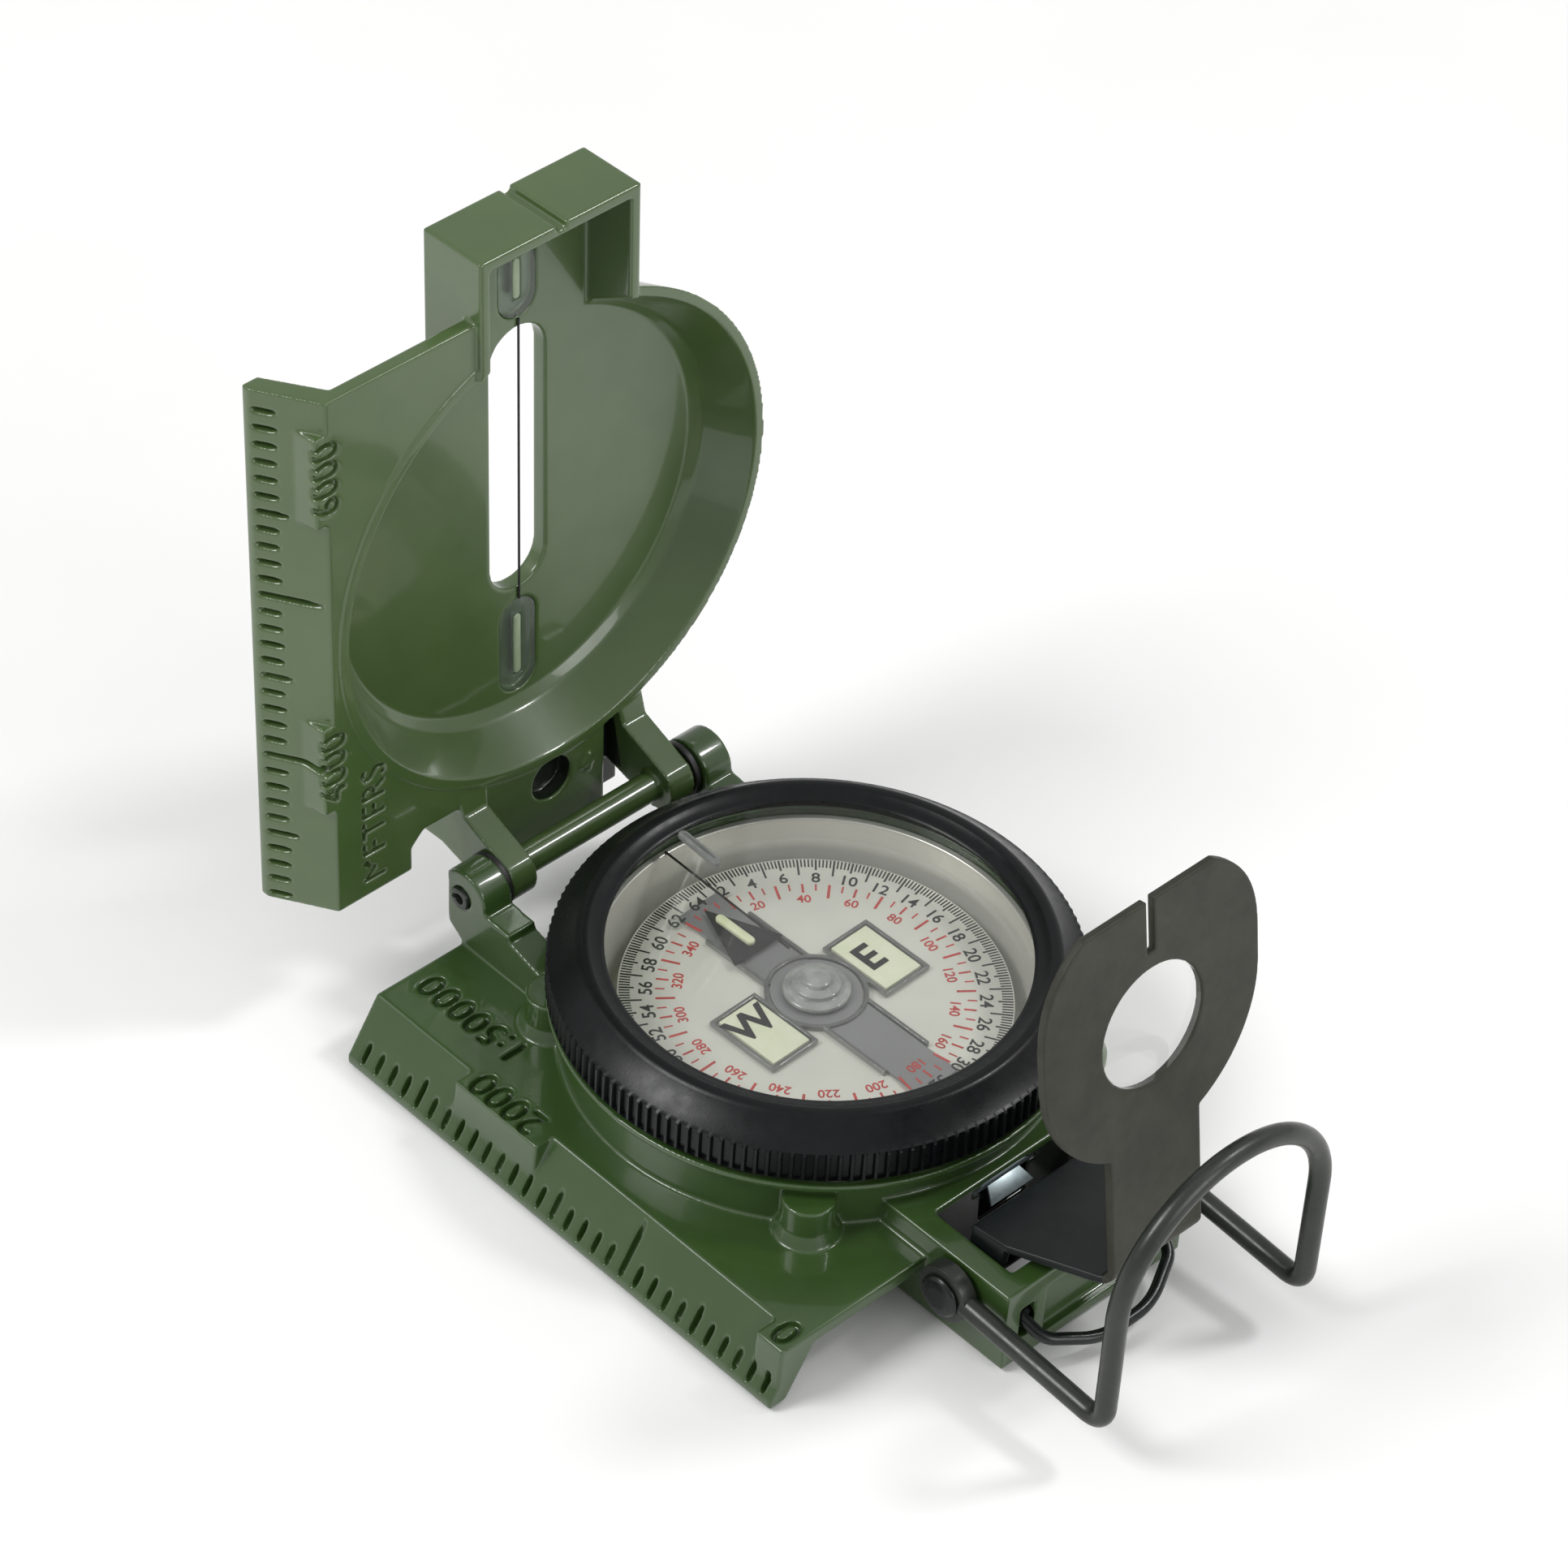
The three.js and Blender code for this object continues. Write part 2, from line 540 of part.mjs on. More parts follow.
// The lanyard ring: a wire bail whose turned-in ends sit in the rear wall.
function lanyardRing() {
  const V = (x, y) => new THREE.Vector3(x, y, 0);
  const path = rounded([
    V(-7.0, 0), V(-BAIL_X - 0.1, 0), V(-BAIL_X + 0.6, -3.4), V(-3.4, -6.4), V(3.4, -6.4),
    V(BAIL_X - 0.6, -3.4), V(BAIL_X + 0.1, 0), V(7.0, 0),
  ], [0.9, 1.2, 2.2, 2.2, 1.2, 0.9]);
  return wire(path, BAIL_WIRE, 44, 8);
}

// The thin leaf that the folded sight pushes to lift the dial off its pivot.
const lockLever = () => join(
  prismZ([[-2.0, 0], [-LEVER_HALF, -LEVER_LEG], [LEVER_HALF, -LEVER_LEG], [2.0, 0]], -0.15, 0.15),
  rodX(0.48, -LEVER_HALF - 1.3, LEVER_HALF + 1.3, 0, 0, 16),
);

// ---------------------------------------------------------------- the cover, x across, y from the hinge, z out of its inside face
function coverFlange() {
  const inner = PLATE_N - WALL;
  const outline = [
    [EDGE_X, BACK_N], [EDGE_X, BACK_N + EDGE_Z], [BEVEL_X, PLATE_N], [-6, PLATE_N], [-6, inner],
    [BEVEL_X + 0.75, inner], [BEVEL_X + 0.75 - (inner - BACK_N) / SLOPE, BACK_N],
  ];
  const plate = prismY(outline, COVER_FLANGE_LOW, COVER_FLANGE_TOP);
  const steepness = (PLATE_N - BACK_N - EDGE_Z) / (BEVEL_X - EDGE_X);
  const bevelN = (x) => BACK_N + EDGE_Z + (x - EDGE_X) * steepness;
  const pads = COVER_PADS.map(([s0, s1, edgeX]) => numberPad(s0, s1, edgeX, bevelN, PLATE_N));
  const forEar = box(-19.2, 0, -1, 5.6, -20, 0);
  return cut(join(plate, ...pads), forEar);
}

function dish() {
  return turned([
    [0, BACK_N], [RIM_OUT - 2.9, BACK_N], [RIM_OUT - 2.2, BACK_N + 1.0], [RIM_OUT, RIM_N],
    [RIM_IN, RIM_N], [FLOOR_R + 0.5, FLOOR_N + 0.9], [FLOOR_R - 0.6, FLOOR_N], [0, FLOOR_N],
  ], 0, DISH_S);
}

const dishRoom = () => turned([
  [0, FLOOR_N], [FLOOR_R - 0.6, FLOOR_N], [FLOOR_R + 0.5, FLOOR_N + 0.9], [RIM_IN, RIM_N],
  [RIM_IN, 5], [0, 5],
], 0, DISH_S);

function hood() {
  return box(-HOOD_X, HOOD_X, DISH_S, HOOD_S, BACK_N, HOOD_N);
}

function hoodRoom() {
  return box(-HOOD_X + HOOD_WALL, HOOD_X - HOOD_WALL, DISH_S, HOOD_S - HOOD_WALL, FLOOR_N, 5);
}

function coverArm(side) {
  const [x0, x1] = hingeSpan(side, ARM_IN, ARM_OUT);
  const shape = new THREE.Shape();
  shape.absarc(0, 0, KNUCKLE_R, rad(40), rad(210), false);
  shape.lineTo(-0.5, -8.0);
  shape.lineTo(-0.5, BACK_N + 0.4);
  shape.lineTo(9.0, BACK_N + 0.4);
  shape.lineTo(9.0, PLATE_N - 0.4);
  shape.lineTo(5.0, PLATE_N + 0.7);
  shape.closePath();
  const bore = rodX(PIN_R + 0.08, side < 0 ? x0 - 1 : x0 + 0.6, side < 0 ? x1 - 0.6 : x1 + 1, 0, 0);
  return cut(prismX(shape, x0, x1), bore);
}

// The lower end of the cover: a back wall between the arms, a raised web with a round recess, and a cast rod.
function hingeBridge() {
  const back = box(HINGE_X - ARM_OUT, HINGE_X + ARM_OUT, 0.2, 12, BACK_N + 0.4, BACK_N + 2.4);
  const left = HINGE_X - ARM_IN - 0.2;
  const web = join(box(left, 6.6, -4.7, 9, -8.2, WEB_N), box(left, 6.6, 0.2, 9, BACK_N + 0.4, WEB_N));
  const behind = box(left, HINGE_X + ARM_IN + 0.2, -4.7, 9, -8.2, -7.4);
  const recess = disc(2.6, WEB_N - 1.4, 0, -0.6, 2.7, SMALL);
  const rod = rodX(CAST_ROD_R, left, HINGE_X + ARM_IN + 0.2, 0, 0);
  return join(back, behind, cut(web, recess), rod);
}

function coverCasting() {
  const shell = join(dish(), coverFlange(), hood(), coverArm(-1), coverArm(1), hingeBridge());
  const slot = prismZ(obround(SLOT_HALF, SLOT_LOW, SLOT_TOP), -20, 5, [], 16);
  const groove = box(-0.6, 0.6, HOOD_S - 0.7, HOOD_S + 1, BACK_N - 1, HOOD_N + 1);
  const pockets = [[57.2, 66.2], [10.6, 22.4]].map(([s0, s1]) =>
    prismZ(obround(2.4, s0, s1), FLOOR_N - 0.9, 5, [], 10));
  return cut(shell, dishRoom(), hoodRoom(), slot, groove, ...pockets);
}

const sightingWire = () => box(-0.13, 0.13, SLOT_LOW - 1.5, SLOT_TOP + 1.1, FLOOR_N + 0.03, FLOOR_N + 0.29);
const resin = (s0, s1) => cut(
  prismZ(obround(2.35, s0 + FIT, s1 - FIT), FLOOR_N - 0.85, FLOOR_N - 0.02, [], 10),
  box(-0.6, 0.6, s0 + 2.0, s1 - 2.0, FLOOR_N - 0.5, FLOOR_N + 1),
);
const vial = (s0, s1) => box(-0.5, 0.5, s0 + 2.1, s1 - 2.1, FLOOR_N - 0.45, FLOOR_N - 0.03);

// ---------------------------------------------------------------- assembly
function part(name, body, look) {
  const { vertProperties, triVerts } = body.getMesh();
  const geometry = new THREE.BufferGeometry();
  geometry.setAttribute('position', new THREE.Float32BufferAttribute(vertProperties, 3));
  geometry.setIndex(Array.from(triVerts));
  geometry.computeVertexNormals();
  const mesh = new THREE.Mesh(geometry, look);
  mesh.name = name;
  return mesh;
}

function at(group, x, y, z, axis, degrees) {
  group.position.set(x, y, z);
  if (axis) {
    group.rotation[axis] = rad(degrees);
  }
  return group;
}

const compass = new THREE.Group();
compass.name = 'sighting_compass';

const base = new THREE.Group();
base.add(part('base_casting', baseCasting(), material.green));
for (const [side, word] of [[-1, 'left'], [1, 'right']]) {
  base.add(at(part(`hinge_pin_${word}`, hingePin(side), material.steel), 0, HINGE_Y, HINGE_Z));
  base.add(at(part(`hinge_washer_${word}`, hingeWasher(side), material.black), 0, HINGE_Y, HINGE_Z));
}
base.add(part('damping_well', dampingWell(), material.nickel));
base.add(part('pivot_post', pivotPost(), material.brass));
base.add(part('fixed_crystal', fixedCrystal(), material.glass));
base.add(at(part('index_line', indexLine(), material.black), 0, 0, 0, 'z', INDEX_TURN));
base.add(part('bezel_spring', bezelSpring(), material.steel));
base.add(at(part('sight_axle', sightAxle(), material.steel), 0, AXLE_Y, AXLE_Z));

const bezel = at(new THREE.Group(), 0, 0, 0, 'z', BEZEL_TURN);
bezel.add(part('bezel_ring', bezelRing(), material.black));
bezel.add(part('bezel_glass', bezelGlass(), material.glass));
bezel.add(part('bezel_lume_bar', bezelLume(), material.lume));

const dial = at(new THREE.Group(), 0, 0, 0, 'z', DIAL_TURN);
dial.add(part('dial_disc', dialDisc(), material.dial));
dial.add(part('dial_magnet', dialMagnet(), material.magnet));
dial.add(part('dial_frame', dialFrame(), material.glass));
dial.add(part('dial_jewel_cap', jewelCap(), material.glass));
dial.add(part('dial_arrow', arrowPlate(), material.black));
dial.add(part('dial_arrow_lume', arrowLume(), material.lume));
dial.add(part('dial_east_pad', letterPad(1), material.lume));
dial.add(part('dial_west_pad', letterPad(-1), material.lume));

const sight = at(new THREE.Group(), 0, AXLE_Y, AXLE_Z, 'x', SIGHT_ANGLE);
sight.add(part('rear_sight_leaf', rearSight(), material.sheet));
sight.add(part('rear_sight_lens', sightLens(), material.glass));

const loop = at(new THREE.Group(), 0, AXLE_Y, AXLE_Z);
loop.add(part('thumb_loop', thumbLoop(), material.steel));

const bail = at(new THREE.Group(), 0, BAIL_Y, BAIL_Z, 'x', -BAIL_ANGLE);
bail.add(part('lanyard_ring', lanyardRing(), material.steel));

const lever = at(new THREE.Group(), 0, LEVER_Y, LEVER_Z, 'x', LEVER_ANGLE);
lever.add(part('dial_lock_lever', lockLever(), material.nickel));

const cover = at(new THREE.Group(), 0, HINGE_Y, HINGE_Z, 'x', COVER_ANGLE);
cover.add(part('cover_casting', coverCasting(), material.coverGreen));
cover.add(part('sighting_wire', sightingWire(), material.black));
cover.add(part('upper_resin', resin(57.2, 66.2), material.glass));
cover.add(part('lower_resin', resin(10.6, 22.4), material.glass));
cover.add(part('upper_vial', vial(57.2, 66.2), material.lume));
cover.add(part('lower_vial', vial(10.6, 22.4), material.lume));

compass.add(base, bezel, dial, sight, loop, bail, lever, cover);

export default compass;
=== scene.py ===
import json
import math

import bmesh
import bpy
from mathutils import Matrix, Vector


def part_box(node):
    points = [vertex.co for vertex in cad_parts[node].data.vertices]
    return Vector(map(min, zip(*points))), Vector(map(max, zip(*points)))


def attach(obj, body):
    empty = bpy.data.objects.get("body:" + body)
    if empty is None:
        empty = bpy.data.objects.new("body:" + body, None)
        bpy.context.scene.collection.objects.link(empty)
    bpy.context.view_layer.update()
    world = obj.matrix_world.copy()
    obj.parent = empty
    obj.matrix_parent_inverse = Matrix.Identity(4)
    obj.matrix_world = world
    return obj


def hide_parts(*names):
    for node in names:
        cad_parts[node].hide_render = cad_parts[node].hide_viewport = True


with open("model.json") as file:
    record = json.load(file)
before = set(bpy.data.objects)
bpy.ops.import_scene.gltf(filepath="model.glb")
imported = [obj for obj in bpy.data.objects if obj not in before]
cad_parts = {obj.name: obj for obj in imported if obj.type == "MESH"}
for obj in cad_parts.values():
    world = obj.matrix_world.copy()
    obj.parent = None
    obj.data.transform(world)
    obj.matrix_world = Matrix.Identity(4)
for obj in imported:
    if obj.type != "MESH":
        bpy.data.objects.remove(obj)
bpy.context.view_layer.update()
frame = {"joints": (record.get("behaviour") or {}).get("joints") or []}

MM = 0.001
JOINTS = {joint["name"]: joint for joint in frame["joints"]}


def pivot(name):
    """A joint's point, in millimetres."""
    return Vector(JOINTS[name]["pos_m"]) / MM


def corner(node, end, axis):
    """One coordinate of a CAD node's box, in millimetres; end 0 is the low corner and 1 the high one."""
    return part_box(node)[end]["xyz".index(axis)] / MM


# ------------------------ dimensions
ROUND = 192  # facets of the large turned shapes
FIT = 0.05  # gap around a piece that is glued or pressed in
RUN = 0.3  # gap beside a piece that turns
HINGE = pivot("cover_hinge")
AXLE = pivot("sight_fold")
LEVER = pivot("lever_follow")
BAIL = pivot("lanyard_swing")
COVER_ANGLE = math.radians(-JOINTS["cover_hinge"]["range_deg"][0])
SIGHT_ANGLE = math.radians(-JOINTS["sight_fold"]["range_deg"][0])
LEVER_ANGLE = math.radians(40)
BAIL_ANGLE = math.radians(27)
DIAL_TURN = math.radians(1.4)
BEZEL_TURN = math.radians(-1.7)
INDEX_TURN = math.radians(-0.5)

EDGE_X = corner("base_casting", 0, "x")  # outer edge of both scales
EDGE_RISE = 1.0  # upright part of that edge
BEVEL_X = EDGE_X + 3.8  # inner end of the bevelled scale
FLANGE_Z = 7.2
WALL = 1.6
BEVEL_WALL = 1.8  # wall behind the scale's grooves, measured level
FLANGE_REAR, FLANGE_FRONT = -28.7, 32.8
SCALE_ZERO = -27.2  # place of the base scale's tick 0
TICK = 2.0  # one tick is 100 m at 1:50000
TICK_WIDTH, TICK_DEPTH = 0.72, 1.15
ENGRAVED = 0.75  # depth of the cast numbers
CASE_R, COLLAR_R, NECK_R, BORE_R = 25.4, 26.7, 23.6, 22.6
COLLAR_Z = 13.5
NECK_Z = corner("fixed_crystal", 1, "z") + FIT
BORE_FLOOR = 6.0
HINGE_X = -0.6  # middle of the hinge
LUG_RING = 26.0  # distance of the four round lugs from the middle
EAR_IN, EAR_OUT, EAR_R = 13.3, 16.9, 3.3
PIN_R = 1.2
ARM_IN, ARM_OUT, KNUCKLE_R = 9.1, 12.4, 2.9

BEZEL_LOW = corner("bezel_ring", 0, "z")
BEZEL_TOP = corner("bezel_ring", 1, "z")
BEZEL_R = 26.8
LIP_EDGE = 23.7
KNURL_TOP = 17.9
KNURLS = 144
GLASS_LOW = corner("bezel_glass", 0, "z")
GLASS_TOP = corner("bezel_glass", 1, "z")
CRYSTAL_LOW = corner("fixed_crystal", 0, "z")
WELL_TOP = corner("damping_well", 1, "z")
WELL_FLOOR = 8.2
DIAL_R = 19.65
DIAL_LOW = corner("dial_disc", 0, "z")
DIAL_TOP = corner("dial_disc", 1, "z")
PRINT = 0.02  # thickness of the printing
MAGNET_THICK = 0.34

FRAME_X, FRAME_IN = 12.3, 9.6
FRAME_Z = 10.0
FRAME_REAR, WINDOW_REAR, WINDOW_FRONT = -39.5, -37.2, -26.8
SIGHT_H, SHEET, FOOT_U = 14.2, 0.9, 4.2
SIGHT_R, LENS_U, LENS_R = 14.2, 32.0, 6.6
SHOULDER_U, SIGHT_END, TOP_HALF = 36.0, 46.4, 8.5
LOOP_X, LOOP_BACK, LOOP_LEG, LOOP_RISE = 13.75, -20.9, 13.0, 25.4

DISH_S = 33.1  # centre of the cover's dish, from the hinge
RIM_N, FLOOR_N, BACK_N = -5.1, -11.0, -12.9  # cover heights, inside face up
RIM_IN, RIM_OUT, FLOOR_R = 26.8, 27.9, 23.6
PLATE_N, HOOD_N, WEB_N = -5.3, -4.6, -5.2
WEB_X = 6.6  # free side of the web between the arms
RECESS, RECESS_R = (-0.6, 2.7), 2.6  # round recess in the web
HOOD_X, HOOD_S, HOOD_WALL = 10.2, 71.5, 1.3
COVER_LOW, COVER_TOP = 1.2, 64.3
COVER_TICK_50 = 40.0
SLOT_HALF, SLOT_LOW, SLOT_TOP = 3.6, 24.0, 56.0
VIALS = {"upper": (57.2, 66.2), "lower": (10.6, 22.4)}

COVER_FRAME = Matrix.Translation(HINGE) @ Matrix.Rotation(COVER_ANGLE, 4, "X")
SIGHT_FRAME = Matrix.Translation(AXLE) @ Matrix.Rotation(SIGHT_ANGLE, 4, "X")
LOOP_FRAME = Matrix.Translation(AXLE)
LEVER_FRAME = Matrix.Translation(LEVER) @ Matrix.Rotation(LEVER_ANGLE, 4, "X")
BAIL_FRAME = Matrix.Translation(BAIL) @ Matrix.Rotation(BAIL_ANGLE, 4, "X")
DIAL_FRAME = Matrix.Rotation(DIAL_TURN, 4, "Z")
BEZEL_FRAME = Matrix.Rotation(BEZEL_TURN, 4, "Z")
INDEX_FRAME = Matrix.Rotation(INDEX_TURN, 4, "Z")
AT_HOME = Matrix.Identity(4)


# ------------------------ mesh helpers, all in millimetres
def make(name, points, faces):
    mesh = bpy.data.meshes.new(name)
    mesh.from_pydata([tuple(p) for p in points], [], faces)
    work = bmesh.new()
    work.from_mesh(mesh)
    bmesh.ops.remove_doubles(work, verts=work.verts, dist=1e-5)
    bmesh.ops.recalc_face_normals(work, faces=work.faces)
    work.to_mesh(mesh)
    work.free()
    thing = bpy.data.objects.new(name, mesh)
    bpy.context.scene.collection.objects.link(thing)
    return thing


def prism(outline, axis, low, high):
    """An outline swept along an axis: (y, z) points along x, (x, z) along y or (x, y) along z."""
    def point(a, b, c):
        return {"x": (c, a, b), "y": (a, c, b), "z": (a, b, c)}[axis]
    n = len(outline)
    points = [point(a, b, low) for a, b in outline] + [point(a, b, high) for a, b in outline]
    faces = [tuple(range(n)), tuple(range(n, 2 * n))]
    faces += [(i, (i + 1) % n, n + (i + 1) % n, n + i) for i in range(n)]
    return make("prism", points, faces)


def block(x0, x1, y0, y1, z0, z1):
    return prism([(x0, y0), (x1, y0), (x1, y1), (x0, y1)], "z", z0, z1)


def arc(cx, cy, r, start, end, steps):
    """Points on an arc, angles in degrees."""
    turns = [math.radians(start + (end - start) * k / steps) for k in range(steps + 1)]
    return [(cx + r * math.cos(t), cy + r * math.sin(t)) for t in turns]


def circle(cx, cy, r, steps=48):
    return arc(cx, cy, r, 0, 360, steps)[:-1]


def obround(half, y0, y1, steps=20):
    return arc(0, y0 + half, half, 180, 360, steps) + arc(0, y1 - half, half, 0, 180, steps)


def turned(profile, centre=(0, 0), facets=ROUND, ripple=None):
    """A closed profile of (radius, height) turned about Z; ripple(turn, r, z) may change a radius."""
    points, rows = [], []
    for r, z in profile:
        if r < 1e-6:
            rows.append([len(points)] * facets)
            points.append((centre[0], centre[1], z))
            continue
        rows.append(list(range(len(points), len(points) + facets)))
        for k in range(facets):
            turn = 2 * math.pi * k / facets
            reach = r + (ripple(turn, r, z) if ripple else 0)
            points.append((centre[0] + reach * math.cos(turn), centre[1] + reach * math.sin(turn), z))
    faces = []
    for a, b in zip(rows, rows[1:] + rows[:1]):
        for k in range(facets):
            ring = []
            for v in (a[k], a[(k + 1) % facets], b[(k + 1) % facets], b[k]):
                if v not in ring:
                    ring.append(v)
            if len(ring) > 2:
                faces.append(tuple(ring))
    return make("turned", points, faces)


def disc(r, z0, z1, centre=(0, 0), facets=ROUND):
    return turned([(0, z0), (r, z0), (r, z1), (0, z1)], centre, facets)


def soft_profile(profile, radius, steps=4):
    """A profile with its corners rounded, apart from those on the axis."""
    n = len(profile)
    out = []
    for i, here in enumerate(profile):
        before, after = Vector(profile[i - 1]), Vector(profile[(i + 1) % n])
        spot = Vector(here)
        if here[0] < 1e-6:
            out.append(here)
            continue
        back, ahead = before - spot, after - spot
        reach = min(radius, 0.45 * back.length, 0.45 * ahead.length)
        start = spot + back.normalized() * reach
        end = spot + ahead.normalized() * reach
        for k in range(steps + 1):
            t = k / steps
            out.append(tuple(start * (1 - t) ** 2 + spot * 2 * t * (1 - t) + end * t ** 2))
    return out


def rod_x(r, x0, x1, y, z, facets=40):
    return prism(circle(y, z, r, facets), "x", x0, x1)


def bar(half, round_r, y0, y1, z0, z1, cx=0.0):
    """A bar along Y with rounded long edges on top and round ends."""
    body = prism([(cx + a, b) for a, b in obround(half, y0, y1, 12)], "z", z0, z1)
    soften(body, round_r, 3)
    return body


def soften(thing, width, segments=2):
    """Rounds every edge sharper than 30 degrees."""
    step = thing.modifiers.new("edge", "BEVEL")
    step.width = width
    step.segments = segments
    step.limit_method = "ANGLE"
    step.angle_limit = math.radians(30)
    apply(thing)
    return thing


def apply(thing):
    """Bakes a piece's modifiers into its mesh."""
    graph = bpy.context.evaluated_depsgraph_get()
    mesh = bpy.data.meshes.new_from_object(thing.evaluated_get(graph))
    thing.modifiers.clear()
    old = thing.data
    thing.data = mesh
    bpy.data.meshes.remove(old)
    return thing


def merge(things):
    """Several solids as one mesh, overlapping or not."""
    work = bmesh.new()
    for thing in things:
        copy = thing.data.copy()
        copy.transform(thing.matrix_world)
        work.from_mesh(copy)
        bpy.data.meshes.remove(copy)
        bpy.data.objects.remove(thing)
    mesh = bpy.data.meshes.new("merged")
    work.to_mesh(mesh)
    work.free()
    result = bpy.data.objects.new("merged", mesh)
    bpy.context.scene.collection.objects.link(result)
    return result


def combine(body, tools, operation):
    for tool in tools:
        step = body.modifiers.new("cut", "BOOLEAN")
        step.operation = operation
        step.solver = "MANIFOLD"
        step.object = tool
    apply(body)
    for tool in tools:
        bpy.data.objects.remove(tool)
    return body


def join(first, *rest):
    return combine(first, rest, "UNION")


def cut(body, *tools):
    return combine(body, tools, "DIFFERENCE")


def cast(body, voxel, softness, keep):
    """Turns sharp solids into one casting with rounded edges and filleted corners."""
    size = voxel * 1.0
    step = body.modifiers.new("skin", "REMESH")
    step.mode = "VOXEL"
    step.voxel_size = size
    step = body.modifiers.new("round", "SMOOTH")
    step.factor = 0.5
    step.iterations = max(2, round(softness / size ** 2))
    if keep < 1:
        step = body.modifiers.new("thin", "DECIMATE")
        step.ratio = keep
    return apply(body)


def lettering(text, height, place, right, up, thickness, weight=0.0):
    """Solid text centred on a place, reading along right with its tops toward up."""
    curve = bpy.data.curves.new("text", "FONT")
    curve.body = text
    curve.size = height / 0.729
    curve.align_x = "CENTER"
    curve.align_y = "CENTER"
    curve.extrude = thickness / 2
    curve.offset = weight
    curve.resolution_u = 4
    thing = bpy.data.objects.new("text", curve)
    bpy.context.scene.collection.objects.link(thing)
    graph = bpy.context.evaluated_depsgraph_get()
    mesh = bpy.data.meshes.new_from_object(thing.evaluated_get(graph))
    bpy.data.objects.remove(thing)
    right, up = Vector(right).normalized(), Vector(up).normalized()
    out = right.cross(up)
    turn = Matrix((right, up, out)).transposed().to_4x4()
    work = bmesh.new()
    work.from_mesh(mesh)
    bmesh.ops.remove_doubles(work, verts=work.verts, dist=1e-4)
    bmesh.ops.recalc_face_normals(work, faces=work.faces)
    low = min(v.co.y for v in work.verts)
    high = max(v.co.y for v in work.verts)
    bmesh.ops.translate(work, verts=work.verts, vec=(0, -(low + high) / 2, 0))
    work.transform(Matrix.Translation(Vector(place)) @ turn)
    work.to_mesh(mesh)
    work.free()
    result = bpy.data.objects.new("text", mesh)
    bpy.context.scene.collection.objects.link(result)
    return result


def tube(points, radius, sides=20):
    """Round wire through closely spaced points, closed flat at both ends."""
    points = [Vector(p) for p in points]
    rings, faces = [], []
    side = None
    for i, here in enumerate(points):
        ahead = points[min(i + 1, len(points) - 1)] - points[max(i - 1, 0)]
        ahead.normalize()
        if side is None:
            side = ahead.orthogonal()
        side = (side - ahead * side.dot(ahead)).normalized()
        other = ahead.cross(side)
        turns = [2 * math.pi * k / sides for k in range(sides)]
        rings.append([here + radius * (side * math.cos(t) + other * math.sin(t)) for t in turns])
    verts = [p for ring in rings for p in ring]
    for i in range(len(rings) - 1):
        for k in range(sides):
            a, b = i * sides + k, i * sides + (k + 1) % sides
            faces.append((a, b, b + sides, a + sides))
    faces.append(tuple(range(sides)))
    faces.append(tuple(range(len(verts) - sides, len(verts))))
    return make("tube", verts, faces)


def bent(points, radii, steps=10):
    """Points for straight runs, with each corner rounded to its own reach by closely spaced points."""
    points = [Vector(p) for p in points]
    route = [points[0]]
    for i in range(1, len(points) - 1):
        spot = points[i]
        enter = spot + (points[i - 1] - spot).normalized() * radii[i - 1]
        leave = spot + (points[i + 1] - spot).normalized() * radii[i - 1]
        for k in range(steps + 1):
            t = k / steps
            route.append(enter * (1 - t) ** 2 + spot * 2 * t * (1 - t) + leave * t ** 2)
    route.append(points[-1])
    return route


def faces_where(thing, test):
    """The faces whose centres pass a test."""
    return [face.index for face in thing.data.polygons if test(face.center)]


def second_coat(thing, look, faces):
    """Gives chosen faces a look of their own; every use here lays painted shade."""
    thing.data.materials.append(look)
    for index in faces:
        thing.data.polygons[index].material_index = 1


def settle(thing, name, body, look, place=AT_HOME, replaces=(), smooth=40):
    """Names a finished piece, scales it to metres in its body's rest place, and hands it to the frame."""
    thing.name = name
    thing.data.name = name
    thing.data.transform(Matrix.Scale(MM, 4) @ place)
    thing.data.materials.clear()
    thing.data.materials.append(look)
    work = bmesh.new()
    work.from_mesh(thing.data)
    for face in work.faces:
        face.smooth = True
    if smooth is not None:
        for edge in work.edges:
            flat = len(edge.link_faces) != 2
            edge.smooth = not flat and edge.calc_face_angle(0) < math.radians(smooth)
    work.to_mesh(thing.data)
    work.free()
    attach(thing, body)
    if replaces:
        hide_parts(*replaces)
    return thing


